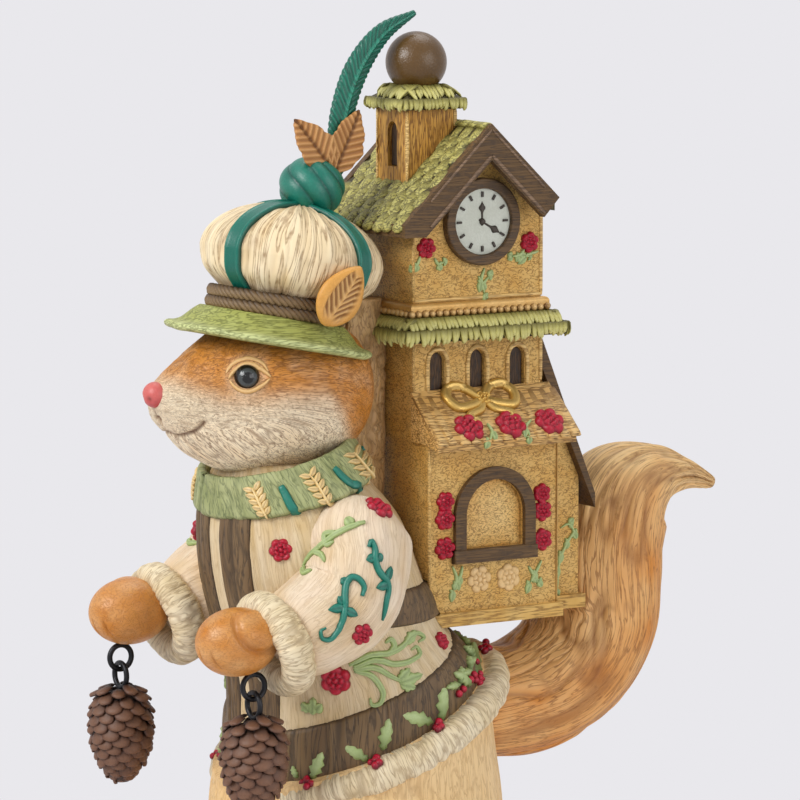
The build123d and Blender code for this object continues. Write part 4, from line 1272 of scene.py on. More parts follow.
@dataclass
class Arm:
    """Sleeve, cuff and paw on one side, in millimetres."""

    side: int
    # Place and radius of the sleeve's sections.
    path: Table = (
        (34.0, -18.0, 188.0, 12.0), (38.0, -22.0, 180.0, 20.0), (42.5, -25.5, 168.0, 20.8),
        (44.3, -31.5, 156.0, 21.0), (43.8, -44.0, 147.3, 20.0), (42.5, -56.0, 142.5, 17.5),
        (42.5, -61.0, 141.0, 15.0),
    )
    wrist: Point = (42.5, -56.0, 142.5)
    cuff_tilt: float = 110.6
    cuff_radius: float = 22.0
    cuff_width: float = 14.0
    paw: Point = (43.0, -80.0, 142.5)
    paw_half_length: float = 17.0
    paw_radius: float = 13.4

    def mirrored(self, rows: Array) -> Array:
        """Rows on this arm's side."""
        return rows * to_side(self.side)

    def sleeve(self) -> None:
        """Wide sleeve with soft folds at the elbow."""
        read, tangent, _ = swept(np.array(self.path), 110)
        across = unit(ALONG_X - tangent * tangent[:, :1])
        angle = turns(190)[None, :, None]
        ring = np.cos(angle) * across[:, None] + np.sin(angle) * np.cross(tangent, across)[:, None]
        rows = MM * (read[:, None, :3] + read[:, None, 3:] * ring)
        fold = layered(rows / (13 * MM), 71, 2)
        rows = self.mirrored(pushed(rows, 0.7 * fold))
        rows, marks = Comb(15, 1.35, 0.3, 73 + self.side).carve(rows, slant=9.0)
        marks["tint"] = held(0.4 - 0.8 * fold)
        marks["depth"] = 0.4 * marks["depth"]
        name = f"{side_name(self.side)}_sleeve"
        make(f"{name}_cloth", rows, marks, Finishes.sleeve, "coat_cream", name)

    def cuff(self) -> None:
        """Thick rolled cuff with short strokes across it."""
        edge = self.cuff_width * 0.46
        profile = rounded_box_profile(9.0, self.cuff_radius, 0.0, self.cuff_width, edge, 84)
        rows = self.mirrored(spun(frame_at(self.wrist, self.cuff_tilt), profile, 230))
        rows, marks = Comb(9, 1.4, 0.6, 83 + self.side, sway=0.4).carve(rows, ring=True)
        marks["tint"] = patches(rows, 9, 8)
        name = f"{side_name(self.side)}_cuff"
        make(f"{name}_knit", rows, marks, Finishes.trim_fur, "trim_fur", name, ring=True)

    def hand(self) -> None:
        """Closed paw: a round fist of fingers in front and a thumb lobe beside it."""
        along = np.linspace(0, np.pi, 110)[:, None]
        angle = turns(150)[None, :]
        ring = self.paw_radius * np.sin(along)
        flat = grid(ring * np.cos(angle), self.paw_half_length * np.cos(along), ring * np.sin(angle))
        way = unit(flat)
        turn = np.arccos(np.clip(way @ unit(np.array([0.80, 0.30, 0.52])), -1, 1))
        lobe = 1 - ease(turn, 0.42, 0.80)
        seam = bell((turn - 0.76) / 0.11) * ease(-way @ unit(np.array([-0.2, 0.7, 0.7])), -0.55, 0.0)
        fingers = bell(np.sin(np.clip(flat[..., 0], -9, 9) / 9 * np.pi * 1.5) / 0.22)
        fingers = fingers * ease(-flat[..., 1], 8.0, 13.0) * ease(-flat[..., 2], -1.0, 5.0)
        height = 1.6 * lobe - 1.5 * seam - 0.8 * fingers
        rows = self.mirrored(pushed(MM * (flat + np.array(self.paw)), height))
        _, marks = Comb(4, 1.8, 0.0, 91).relief(rows[..., 1], rows[..., [0, 2]])
        # The seam between the fist and the thumb lobe is darkened as painted shade in the notch; the finger
        # creases are darkened as well.
        marks["depth"] = held(0.10 * marks["depth"] + 0.95 * seam + 0.7 * fingers)
        marks["tint"] = held(patches(rows, 5, 3, 0.35, 0.6))
        name = f"{side_name(self.side)}_paw"
        make(f"{name}_fist", rows, marks, Finishes.paw, "paw_fur", name)

    def build(self) -> None:
        """Make the arm's pieces."""
        self.sleeve()
        self.cuff()
        self.hand()


@dataclass
class Collar:
    """Scarf rolled round the neck, in millimetres."""

    edge: tuple[float, float] = (42.0, 35.5)
    neck: tuple[float, float] = (31.0, 30.0)
    depth: float = 17.0

    def loop(self, outside: int, inside: int) -> Array:
        """Section with its radii along X and Y and its height: the outside upwards, then the inside.

        Args:
            outside: Points on the outside.
            inside: Points on the inside.

        Returns:
            Radius along X, radius along Y and height of each point.
        """
        share, inner = np.linspace(0, 1, outside), np.linspace(0, 1, inside)
        neck, edge = np.array(self.neck), np.array(self.edge)
        roll = 3.2 * (np.sin(held(share / 0.16) * np.pi / 2) ** 0.6 - 1)
        front = neck + (edge - neck) * (1 - share**1.3 * 0.93)[:, None] + roll[:, None]
        back = neck - 2 - 2 * inner[:, None]
        height = np.concatenate([self.depth * share, self.depth - 0.5 - inner * (self.depth - 2)])
        return np.column_stack([np.concatenate([front, back]), height])

    def build(self) -> None:
        """Make the scarf with a rolled lower edge and one lap at the front."""
        outside = 44
        loop = self.loop(outside, 20)
        wide, deep, height = loop[:, :1], loop[:, 1:2], loop[:, 2:]
        angle = turns(420)[None, :]
        lap = bell((np.mod(angle + math.pi * 1.5 + 0.25, 2 * math.pi) - math.pi) / 0.035)
        rows = placed(COLLAR_FRAME, grid(wide * np.cos(angle), deep * np.sin(angle), height))
        front = (np.arange(len(loop)) < outside)[:, None]
        folds = 0.5 * layered(grid(angle * 2.2, height / 7 + angle, 0.0), 5, 2)
        rows = pushed(rows, front * (0.5 * folds - 1.3 * lap), True)
        rows, marks = Comb(7, 1.3, 0.3, 57, sway=0.5).carve(rows, ring=True, slant=5.0)
        foot = ease(-np.minimum(height, 1.6), -1.6, 0)
        marks["depth"] = held(0.5 * marks["depth"] + lap * front + foot)
        marks["tint"] = held(0.3 + 0.8 * folds)
        make("scarf_roll", rows, marks, Finishes.scarf, "scarf", "scarf_collar", ring=True)


@dataclass
class Head:
    """Head with eyes, lids, nose and mouth, in millimetres."""

    back_y: float = 2.0
    length: float = 94.0
    centre_z: float = 232.0
    half_width: float = 31.0
    half_height: float = 31.0
    eye: Point = (21.1, -62.3, 242.2)
    eye_radius: float = 5.2
    nose: Point = (0.0, -91.5, 235.0)
    nose_radius: float = 5.2
    # Share of the length, then of the height for the middle, the half width and the half height.
    shares: Table = (
        (0.0, 0.06, 0.36, 0.38), (0.05, 0.05, 0.60, 0.62), (0.15, 0.03, 0.84, 0.86),
        (0.30, 0.01, 0.98, 0.98),
        (0.48, 0.0, 1.0, 1.0), (0.66, -0.03, 0.90, 0.93), (0.78, -0.05, 0.70, 0.74),
        (0.89, -0.03, 0.48, 0.50),
        (0.97, 0.02, 0.27, 0.27), (1.0, 0.05, 0.15, 0.15),
    )
    # Centre, size and rise of each swelling or hollow.
    bumps: tuple[tuple[Point, Point, float], ...] = (
        ((27, -42, 222), (14, 18, 13), 0.9), ((21.1, -62.3, 242.2), (8.5, 8.5, 8.5), -1.6),
        ((22.6, -61.3, 251.2), (7, 9, 4), 1.0), ((8, -85, 227), (7, 8, 7), 1.6),
        ((0, -78, 212), (9, 8, 6), 0.8),
    )
    # Pixels of the view.
    mouth: tuple[Pixel, ...] = ((160, 418), (163, 428), (172, 434), (187, 434), (198, 429), (204, 423))
    # Share of the way up, then height, half width and half depth.
    nape_shares: Table = (
        (0.0, 186, 9, 11.5), (0.2, 200, 10, 12.0), (0.5, 225, 10, 12.4), (0.8, 250, 10, 12.4),
        (1.0, 268, 8, 11.0),
    )

    def plain_rows(self) -> Array:
        """Rows of the plain head, from the nape to the snout.

        Returns:
            Points in metres, shaped (rows, columns, 3).
        """
        table = [
            (along, 0, self.back_y - self.length * along, self.centre_z + self.half_height * up,
             self.half_width * wide, self.half_height * high)
            for along, up, wide, high in self.shares
        ]
        return lofted(table, (0, 0, 1), 180, 340)

    def skull(self) -> Piece:
        """Head with brows, cheeks, a muzzle and combed hair.

        Returns:
            The head, as the carrier of the lids.
        """
        rows = self.plain_rows()
        plain = skin("head_plain", rows)
        carrier = Carrier(plain)
        mouth = along_path([carrier.seen(pixel) for pixel in self.mouth], 40)
        bpy.data.objects.remove(plain)
        spot = np.abs(rows) * ALONG_X + rows * np.array([0, 1, 1])
        x, y, z = (spot[..., k] / MM for k in range(3))
        gap = np.linalg.norm(spot / MM - np.array(self.eye), axis=-1)
        cut = bell(near(spot, mouth) / MM / 0.9)
        philtrum = bell(x / 0.8) * ease(-y, 84, 89) * ease(232 - z, 0, 3)
        height = -1.5 * cut - 0.7 * philtrum
        for centre, size, rise in self.bumps:
            height += rise * bell(np.linalg.norm((spot / MM - np.array(centre)) / np.array(size), axis=-1))
        smooth = held(1.6 * bell(gap / 7.5))
        droop = 0.75 * ease(243 - z, 0, 22) * ease(-y, -10, 30)
        across = grid(rows[..., 0], rows[..., 2] + droop * rows[..., 1])
        along = -rows[..., 1] + 0.5 * droop * rows[..., 2]
        relief, marks = Comb(10, 0.9, 0.24, 61, sway=0.3).relief(along, across)
        fade = ease(np.arange(len(rows))[::-1], 0, 3)[:, None]
        rows = pushed(rows, (height + relief * (1 - smooth)) * fade)
        cream = ease(234 - z + 7 * ease(-y, 72, 90) - 24 * ease(y, -34, -8), -7, 7)
        marks["tint"] = held(cream + 0.35 * bell((gap - 7.0) / 2.0))
        # Painted shadow of the hat: the head darkens towards its top, from 247 to 262 mm up.
        hat_shadow = 0.45 * ease(z, 247, 262)
        marks["depth"] = held((1 - smooth) * marks["depth"] + hat_shadow + cut + 0.6 * philtrum)
        marks["high"] = marks["high"] * 0.6
        return make("head_hair", rows, marks, Finishes.head, "head_fur", "head")

    def eye_parts(self, side: int, face: Carrier) -> None:
        """Glossy eyeball, two lids and a crease over them.

        Args:
            side: 1 for left, -1 for right.
            face: Surface of the head.
        """
        name = f"{side_name(side)}_eye"
        centre = np.array(self.eye) * to_side(side)
        out = unit(np.array([side * 0.90, -0.42, 0.06]))
        frame = Matrix.Translation(centre) @ Vector(out).to_track_quat("Z", "Y").to_matrix().to_4x4()
        radius = self.eye_radius
        polar = np.linspace(0.0, np.pi * 0.72, 40)
        reach = radius * (1 + 0.035 * bell(polar / 0.35))
        rows = spun(frame, np.stack([reach * np.sin(np.maximum(polar, 0.01)), reach * np.cos(polar)], 1), 64)
        # The pupil takes the dark tint; the dark ring near the eyeball's edge is painted shade under the
        # lids.
        pupil, ring = 1 - ease(polar, 0.40, 0.50), ease(polar, 0.74, 0.86)
        marks = {"tint": np.repeat(pupil[:, None], 64, 1), "depth": np.repeat(ring[:, None], 64, 1)}
        make(f"{name}ball", rows, marks, Finishes.eye, "eye", name)
        back = unit(np.array([0.42 * side, 0.9, 0.0]))
        up = np.cross(out, back)
        up = up if up[2] > 0 else -up
        lids = Relief(face, 0.5, mirror=False)
        # Start and end angle, points, reach, flatness, corner, lift, half width and height of each line.
        arcs = ((0.05, 3.1, 9, 1.16, 0.96, 0.52, 3.2, 1.15, 1.25),
                (3.25, 6.2, 9, 1.12, 0.96, 0.52, 3.2, 0.9, 1.25),
                (0.25, 2.9, 8, 1.62, 1.5 / 1.62, 0.0, 1.0, 0.9, 0.6))
        for start, end, count, reach, flat, corner, lift, width, height in arcs:
            turn = np.linspace(start, end, count)
            point = np.where(np.cos(turn) > 0, corner, 0.20 * (corner > 0)) * np.cos(turn) ** 6
            wide = (radius * reach * (1 + point) * np.cos(turn))[:, None]
            high = (radius * reach * flat * np.sin(turn))[:, None]
            lids.stroke(MM * (centre + wide * back + high * up + lift * out), width, height)
        lids.build(f"{name}_lids", Finishes.lid, "head_fur")

    def nose_piece(self) -> None:
        """Flat oval nose with two nostrils."""
        along = np.linspace(0.02, np.pi - 0.02, 48)[:, None]
        angle = turns(64)[None, :]
        ring = self.nose_radius * np.sin(along)
        y = -self.nose_radius * np.cos(along) * 0.92
        spots = grid(1.05 * ring * np.cos(angle), y, 0.98 * ring * np.sin(angle))
        nostril = 0.0
        for side in (1, -1):
            gap = np.linalg.norm(spots - np.array([side * 2.6, -3.9, -1.4]), axis=-1)
            nostril = nostril + np.exp(-(gap**2) / 1.2)
        rows = pushed(MM * (spots + np.array(self.nose)), -0.7 * nostril)
        marks = {"depth": held(nostril), "tint": held(-spots[..., 2] / 4)}
        make("nose_tip", rows, marks, Finishes.nose, "nose", "nose")

    def nape(self) -> None:
        """Rough fur between the back of the head and the front of the house."""
        table = [(share, 0, 0.5, z, wide, deep) for share, z, wide, deep in self.nape_shares]
        rows, marks = Comb(5, 1.5, 0.9, 67, sway=1.2).carve(lofted(table, (0, 1, 0), 110, 220))
        marks["tint"] = patches(rows, 5, 5)
        make("nape_fur", rows, marks, Finishes.nape, "head_fur")

    def build(self) -> None:
        """Make the head's pieces."""
        face = Carrier(self.skull())
        for side in (1, -1):
            self.eye_parts(side, face)
        self.nose_piece()
        self.nape()


@dataclass
class Ear:
    """Leaf-shaped ear on one side of the hat, in millimetres."""

    side: int
    foot: Point = (35.0, -36.0, 262.5)
    height: float = 27.0
    width: float = 20.0
    thickness: float = 8.0
    lean: float = 33.0
    flare: float = 10.0

    def build(self) -> None:
        """Make the ear with a thick smooth rim and a veined hollow."""
        share = np.linspace(0.0, 1.0, 90)[:, None]
        angle = turns(150)[None, :]
        wide = np.sin(np.pi * np.clip(share, 0.004, 0.996) ** 0.82) ** 0.72
        across = self.width / 2 * wide * np.cos(angle)
        body = self.thickness / 2 * np.sin(angle) * np.sin(np.pi * np.clip(share, 0.01, 0.99)) ** 0.35
        bowl = (1 - ease(np.abs(np.cos(angle)), 0.50, 0.72)) * ease(share, 0.06, 0.25)
        bowl = (np.sin(angle) > 0) * bowl * (1 - ease(share, 0.80, 0.93))
        vein = 0.5 + 0.5 * np.cos(2 * np.pi * (share * self.height / 3.2 - np.abs(across) / 2.6))
        rib = bell(across / 0.8)
        thick = body - bowl * (2.4 - 0.8 * rib - 0.5 * vein)
        turn = math.radians(-self.lean)
        y = across * math.cos(turn) - share * self.height * math.sin(turn)
        z = across * math.sin(turn) + share * self.height * math.cos(turn)
        upright = Matrix.Translation(self.foot) @ Matrix.Rotation(math.radians(self.flare), 4, "Y")
        rows = placed(upright, grid(thick, y, z)) * to_side(self.side)
        depth = held(bowl * (1 - vein) * 1.1 * (1 - rib) + bowl * 0.15)
        marks = {"depth": depth, "tint": held(bowl), "high": held(bowl * vein)}
        name = f"{side_name(self.side)}_ear"
        make(f"{name}_leaf", rows, marks, Finishes.ear, "ear", name)


@dataclass
class Hat:
    """Wide hat with a puffed crown, ribbons, a knot, a plume and leaves, in millimetres."""

    brim_half_width: float = 38.0
    brim_half_depth: float = 43.0
    # Share of the half depth, and height over the hat's frame.
    brim_outline: Table = (
        (0.02, 0.0), (0.5, 0.0), (0.9, 0.0), (0.965, 0.25), (0.99, 0.9), (1.0, 1.6), (0.99, 2.5),
        (0.965, 3.1),
        (0.93, 3.4), (0.85, 5.0), (0.80, 7.1), (0.76, 8.8), (0.72, 10.3), (0.69, 11.2),
    )
    crown_bottom: float = 19.8
    crown_foot: float = 26.0
    crown_radius: float = 36.0
    crown_height: float = 36.0
    crown_back: float = 3.5
    belly: float = 0.42
    dome: float = 0.93
    first_ribbon: float = 20.0
    ribbon_half_width: float = 3.6
    knot_radius: float = 13.0
    knot_height: float = 24.0
    knot_back: float = 7.5
    # Share of the way back and up, then of the half width and thickness.
    plume_shares: Table = (
        (0, 0, 0.8, 0.8), (0.10, 0.20, 0.95, 1), (0.16, 0.42, 1, 1), (0.33, 0.67, 1, 1),
        (0.62, 0.87, 0.74, 0.85),
        (1, 0.985, 0.22, 0.4),
    )
    barb_pitch: float = 2.5
    leaf_length: float = 27.5
    leaf_foot: Point = (5.0, -13.0, 319.0)

    def brim(self) -> None:
        """Brim with a thick pale rim."""
        deep = self.brim_half_depth
        path = along_path(np.array(self.brim_outline) * np.array([deep, 1.0]), 90)
        reach, rise = path[:, :1], path[:, 1:]
        angle = turns(320)[None, :]
        wave = 0.5 * lattice(grid(3 * np.cos(angle), 3 * np.sin(angle), 0.0), 5)
        height = rise + wave * ease(reach / deep, 0.8, 1.0)
        wide = reach * (np.cos(angle) * self.brim_half_width / deep)
        rows = placed(HAT_FRAME, grid(wide, reach * np.sin(angle) - 1.0, height))
        _, marks = Comb(9, 1.2, 0.0, 15).relief(rows[..., 1], rows[..., [0, 2]])
        edge = bell((rise - 1.7) / 1.9) * (reach > 36) + 0 * angle
        marks |= {"tint": edge, "high": edge}
        # Painted shade on the flat of the brim, inside the rolled rim and under the crown.
        marks["depth"] = (1 - ease(rise, 0.0, 0.6)) * (reach < 41) * 0.5 + 0.2 * marks["depth"]
        make("brim_felt", rows, marks, Finishes.brim, "hat_green", "hat_brim")

    def crown_profile(self) -> Array:
        """Half outline of the crown, from the foot to the top.

        Returns:
            Radius and height of each point, in millimetres.
        """
        bottom, radius = self.crown_bottom, self.crown_radius
        middle = bottom + self.crown_height * self.belly
        low = (self.crown_foot + (radius - self.crown_foot) * 0.8, (bottom + middle) / 2)
        rise = along_path([(self.crown_foot, bottom), low, (radius, middle)], 30)
        turn = np.linspace(0, math.pi / 2 * self.dome, 70)[1:]
        top = middle + (bottom + self.crown_height - middle) * np.sin(turn)
        return np.vstack([rise, np.stack([radius * np.cos(turn), top], 1)])

    def crown_frame(self) -> Matrix:
        """Frame of the crown, behind the brim's own."""
        return HAT_FRAME @ Matrix.Translation((0, self.crown_back, 0))

    def crown(self) -> None:
        """Cream cloth gathered towards the knot."""
        profile = self.crown_profile()
        count = len(profile)
        angle = turns(420)[None, :]
        puff = np.abs(np.sin(2 * (angle - math.radians(self.first_ribbon)))) ** 0.5
        rise = ease(np.linspace(0, 1, count)[:, None], 0.05, 0.4)
        pleat = layered(grid(9 * np.cos(angle), 9 * np.sin(angle), 1.5 * rise), 27, 2)
        rows = pushed(spun(self.crown_frame(), profile, 420), 1.1 * (puff - 0.6) * rise + 0.6 * pleat)
        rows, marks = Comb(26, 1.9, 0.35, 29, sway=0.9).carve(rows, ends=False)
        # Painted shade: darker at the foot of the crown over the brim, at its top under the knot and in the
        # gathers beside the ribbons.
        foot = 1 - ease(np.arange(count), 0, 14)[:, None]
        top = ease(np.arange(count), count - 34, count)[:, None]
        marks["depth"] = held(0.45 * marks["depth"] + 0.35 * foot + 0.25 * top + 0.3 * (1 - puff) * rise)
        marks["tint"] = held(0.5 + 0.6 * pleat)
        make("crown_cloth", rows, marks, Finishes.crown, "hat_cream", "hat_crown")

    def ribbons(self) -> None:
        """Four ribbons over the crown, each with raised edges."""
        shape = Shape()
        profile = self.crown_profile()
        tangent = unit(np.gradient(profile, axis=0))
        across = np.linspace(-self.ribbon_half_width, self.ribbon_half_width, 15)
        lift = 1.25 + 0.5 * bell((np.abs(across) - 3.0) / 0.5) - 0.5 * (np.abs(across) > 3.4)
        loop = np.concatenate([across, across[::-1]])[None, :, None]
        up = np.concatenate([lift, np.full(15, -0.8)])
        depth = np.concatenate([held(1.6 - lift) * 0.6, np.ones(15)])
        for index in range(4):
            angle = math.radians(self.first_ribbon + 90 * index)
            out = np.array([math.cos(angle), math.sin(angle), 0.0])
            side = np.array([-math.sin(angle), math.cos(angle), 0.0])
            sway = 0.6 * np.sin(np.linspace(0, 5, len(profile)) + index)
            centre = profile[:, :1] * out + profile[:, 1:] * UPRIGHT
            away = tangent[:, 1:] * out - tangent[:, :1] * UPRIGHT
            flat = centre[:, None] + (loop + sway[:, None, None]) * side + up[None, :, None] * away[:, None]
            ones = np.ones((len(profile), 1))
            marks = {"depth": ones * depth, "high": ones * held(up - 1.4)}
            shape.add_rows(placed(self.crown_frame(), flat), marks)
        dress(shape.build("crown_ribbons"), Finishes.teal, ["hat_ribbons"])

    def knot(self) -> None:
        """Ball of wrapped ribbon with slanting folds."""
        middle = self.crown_bottom + self.crown_height + self.knot_height / 2 - 4
        frame = HAT_FRAME @ Matrix.Translation((0, self.knot_back, middle))
        polar = np.linspace(0.02, np.pi - 0.02, 90)
        profile = np.stack([self.knot_radius * np.sin(polar), -self.knot_height / 2 * np.cos(polar)], 1)
        angle = turns(150)[None, :]
        fold = np.abs(np.sin(3 * angle + 3.4 * (polar[:, None] - 1.5) + 0.5 * np.sin(2 * angle))) ** 0.55
        fade = np.sin(polar)[:, None] ** 0.5
        rows = pushed(spun(frame, profile, 150), 1.1 * (fold - 0.75) * fade)
        marks = {"depth": held(1.0 - 1.5 * fold) * fade, "high": held(fold - 0.75) * 2 * fade}
        make("ribbon_knot", rows, marks, Finishes.teal, "teal", "hat_knot")

    def plume(self) -> None:
        """Curved feather, its barbs slanting off the quill."""
        table = [(0, -12 + 40 * b, 314 + 68 * u, 5.6 * w, 3.0 * t) for b, u, w, t in self.plume_shares]
        read, tangent, reach = swept(np.array(table), 150)
        angle = turns(90)[None, :]
        across = np.cos(angle)
        slant = np.linspace(0, reach, 150)[:, None] - 7.0 * np.abs(across)
        barb = 0.5 + 0.5 * np.cos(2 * np.pi * slant / self.barb_pitch)
        quill = bell(across / 0.13)
        wide = read[:, None, 3] * across * (1 - 0.10 * (1 - barb) * np.abs(across) ** 3)
        thick = read[:, None, 4] * np.sin(angle) * (1 + 0.25 * quill - 0.22 * (1 - barb) * (1 - quill))
        side = np.cross(tangent, ALONG_X)[:, None]
        rows = MM * (read[:, None, :3] + wide[..., None] * side + thick[..., None] * ALONG_X)
        marks = {
            "depth": held((1 - barb) * 0.7 * (1 - quill)),
            "high": held(0.8 * quill + 0.4 * barb) * (np.abs(across) < 0.9),
            "flow": grid(0.3, slant / 1.1, 0.4 * across),
        }
        make("plume_feather", rows, marks, Finishes.plume, "plume", "plume")

    def leaves(self) -> None:
        """Two autumn leaves beside the knot."""
        shape = Shape()
        share = np.linspace(0, 1, 70)[:, None]
        angle = turns(90)[None, :]
        lobes = 0.88 + 0.12 * np.abs(np.sin(share * np.pi * 3.5))
        across = 8.0 * np.sin(np.pi * np.clip(share, 0.005, 0.995) ** 0.8) ** 0.8 * lobes * np.cos(angle)
        vein = 0.5 + 0.5 * np.cos(2 * np.pi * (share * 27 - 0.75 * np.abs(across)) / 3.0)
        rib = bell(across / 0.7)
        thick = 1.5 * np.sin(angle) * np.sin(np.pi * np.clip(share, 0.01, 0.99)) ** 0.3
        thick = thick + (np.abs(np.sin(angle)) > 0.1) * np.sign(np.sin(angle)) * (0.45 * vein - 0.9 * rib)
        thick = thick + 0.035 * across**2 - 1.5 * share
        along = share * self.leaf_length
        for way, seed in ((128.0, 1), (62.0, 2)):
            turn = math.radians(way)
            y = along * math.cos(turn) - across * math.sin(turn)
            z = along * math.sin(turn) + across * math.cos(turn)
            rows = MM * (grid(thick, y, z) + np.array(self.leaf_foot))
            tint = held(patches(rows, 7, seed, 0.4, 0.6))
            depth = held(0.8 * rib + 0.6 * (1 - vein))
            shape.add_rows(rows, {"depth": depth, "high": held(vein - 0.6) * 2, "tint": tint})
        dress(shape.build("autumn_leaves"), Finishes.leaf, ["hat_leaves"])

    def build(self) -> None:
        """Make the hat, apart from its rope."""
        self.brim()
        self.crown()
        self.ribbons()
        self.knot()
        self.plume()
        self.leaves()


@dataclass
class Tail:
    """Bushy tail that sweeps back and up, in millimetres."""

    # Share of the way back and up, then of the half width and half depth.
    shares: Table = (
        (0, 0, 0.76, 0.81), (0.175, 0, 0.90, 0.88), (0.35, 0.03, 0.97, 0.94), (0.485, 0.15, 1, 0.98),
        (0.565, 0.34, 1, 1), (0.585, 0.55, 0.97, 1), (0.605, 0.74, 0.93, 0.96), (0.665, 0.93, 0.82, 0.88),
        (0.78, 1.01, 0.58, 0.52), (0.89, 1.0, 0.31, 0.27), (1, 0.943, 0.10, 0.10),
    )

    def build(self) -> None:
        """Make the tail with long flowing locks, cream towards its outer side and tip."""
        table = np.array([(0, 38 + 137 * b, 98 + 88 * u, 29 * w, 26 * t) for b, u, w, t in self.shares])
        read, tangent, _ = swept(table, 270)
        angle = turns(320)[None, :, None]
        wide = read[:, None, 3:4] * np.cos(angle) * ALONG_X
        deep = read[:, None, 4:5] * np.sin(angle) * np.cross(tangent, ALONG_X)[:, None]
        rows = MM * (read[:, None, :3] + wide + deep)
        rows, broad = Comb(34, 6.0, 1.3, 97, 1.0, 0.9).carve(rows, slant=5.0)
        rows, marks = Comb(20, 1.7, 0.4, 101, sway=0.8).carve(rows, slant=5.0)
        marks["depth"] = held(0.6 * marks["depth"] + 0.9 * broad["depth"])
        outer = 0.55 * ease(-np.sin(angle[..., 0]), 0.1, 0.95)
        tip = 0.7 * ease(np.arange(len(rows)), 150, 262)[:, None]
        marks["tint"] = held(outer + tip + patches(rows, 14, 4, 0.15, 0.3))
        make("tail_hair", rows, marks, Finishes.tail, "tail_fur", "tail")


APRON_DOWN = unit(np.array([20.1, 0, -17.75]))
APRON_OUT = unit(np.array([17.75, 0, 20.1]))
GOLDEN_ANGLE = math.pi * (3 - math.sqrt(5))


def pod(name: str, stations: Table, columns: int = 10, under: float = 0.35) -> Piece:
    """Small closed shape that lies along Y and bulges towards Z, for repeated pieces.

    Args:
        name: Name of the template object.
        stations: Place along Y, half width, middle height and thickness, in units of the finished size.
        columns: Points round a section.
        under: Share of the thickness below the middle.

    Returns:
        The template, which is removed once it has been repeated.
    """
    data = np.array(stations, float)
    angle = turns(columns)[None, :]
    rise = np.where(np.sin(angle) > 0, np.sin(angle), under * np.sin(angle))
    rows = grid(data[:, 1:2] * np.cos(angle), data[:, :1], data[:, 2:3] + data[:, 3:] * rise)
    along = (data[:, :1] - data[0, 0]) / (data[-1, 0] - data[0, 0])
    # Painted shade: each piece darkens over the first half of its length, towards its root, and on its
    # underside; its upper side is paler towards the tip.
    marks = {
        "depth": held(1.0 * (1 - 2.0 * along) + 1.1 * (rise < 0.32)) + 0 * rise,
        "high": held(rise * (0.4 + along) - 0.3),
    }
    return skin(name, rows, marks)


def dot(name: str) -> Piece:
    """Round template for beads and berries.

    Args:
        name: Name of the template object.

    Returns:
        The template.
    """
    polar = np.linspace(0.12, math.pi - 0.12, 8)
    half = 0.5 * np.sin(polar)
    return pod(name, [(-0.5 * math.cos(p), h, 0.0, h) for p, h in zip(polar, half)], 12, 1.0)


class GrowTree:
    """Geometry Nodes tree that repeats a template."""

    def __init__(self, name: str, *labels: tuple[str, str]) -> None:
        """Start a tree with its own inputs, each a name and a kind, besides the common ones.

        Args:
            name: Name of the tree.
            labels: Name and kind of each of its own inputs.
        """
        tree = bpy.data.node_groups.new(name, "GeometryNodeTree")
        common = (("Shape", "Object"), ("Size Variation", "Float"), ("Turn Variation", "Float"),
                  ("Seed", "Int"), ("Finish", "Material"))
        for label, kind in (("Geometry", "Geometry"), *common, *labels):
            tree.interface.new_socket(label, in_out="INPUT", socket_type=f"NodeSocket{kind}")
        tree.interface.new_socket("Geometry", in_out="OUTPUT", socket_type="NodeSocketGeometry")
        self.tree = tree
        self.bench = NodeBench(tree)
        self.given = self.bench.add("NodeGroupInput").outputs

    def vector(self, name: str) -> Socket:
        """Vector that the host's points carry."""
        kind = {"data_type": "FLOAT_VECTOR"}
        return self.bench.add("GeometryNodeInputNamedAttribute", kind, Name=name).outputs[0]

    def vary(self, spread: str, middle: float) -> Socket:
        """Random number round a middle value.

        Args:
            spread: Input that holds the largest change.
            middle: Middle value.

        Returns:
            Link to the number.
        """
        low = self.bench.math("SUBTRACT", middle, self.given[spread])
        high = self.bench.math("ADD", middle, self.given[spread])
        kind = {"data_type": "FLOAT"}
        seed = self.given["Seed"]
        return self.bench.add("FunctionNodeRandomValue", kind, s2=low, s3=high, s8=seed).outputs[1]

    def finish(self, points: Socket, base: Socket, spin: Socket, size: Socket) -> bpy.types.NodeTree:
        """Turn, size, place and paint the template.

        Args:
            points: Where the template goes.
            base: Its rotation on each point.
            spin: Turn about its own Z after that.
            size: Its size before the variation.

        Returns:
            The finished tree.
        """
        bench, given = self.bench, self.given
        spin = bench.add("ShaderNodeCombineXYZ", s2=spin).outputs[0]
        spin = bench.add("FunctionNodeEulerToRotation", s0=spin).outputs[0]
        turned = bench.add(
            "FunctionNodeRotateRotation", {"rotation_space": "LOCAL"}, s0=base, s1=spin
        ).outputs[0]
        share = self.vary("Size Variation", 1.0)
        scale = bench.add("ShaderNodeVectorMath", {"operation": "SCALE"}, s0=size, s3=share).outputs[0]
        shape = bench.add("GeometryNodeObjectInfo", s0=given["Shape"]).outputs["Geometry"]
        many = bench.add(
            "GeometryNodeInstanceOnPoints", Points=points, Instance=shape, Rotation=turned, Scale=scale
        ).outputs[0]
        real = bench.add("GeometryNodeRealizeInstances", s0=many).outputs[0]
        painted = bench.add("GeometryNodeSetMaterial", Geometry=real, Material=given["Finish"]).outputs[0]
        bench.add("NodeGroupOutput", s0=painted)
        return self.tree


@cache
def on_points() -> bpy.types.NodeTree:
    """Tree for templates on marked points, which carry a turn and a size.

    Returns:
        The tree, made once.
    """
    grown = GrowTree("template_on_points")
    base = grown.bench.add("FunctionNodeEulerToRotation", s0=grown.vector("turn")).outputs[0]
    return grown.finish(grown.given[0], base, grown.vary("Turn Variation", 0.0), grown.vector("size"))


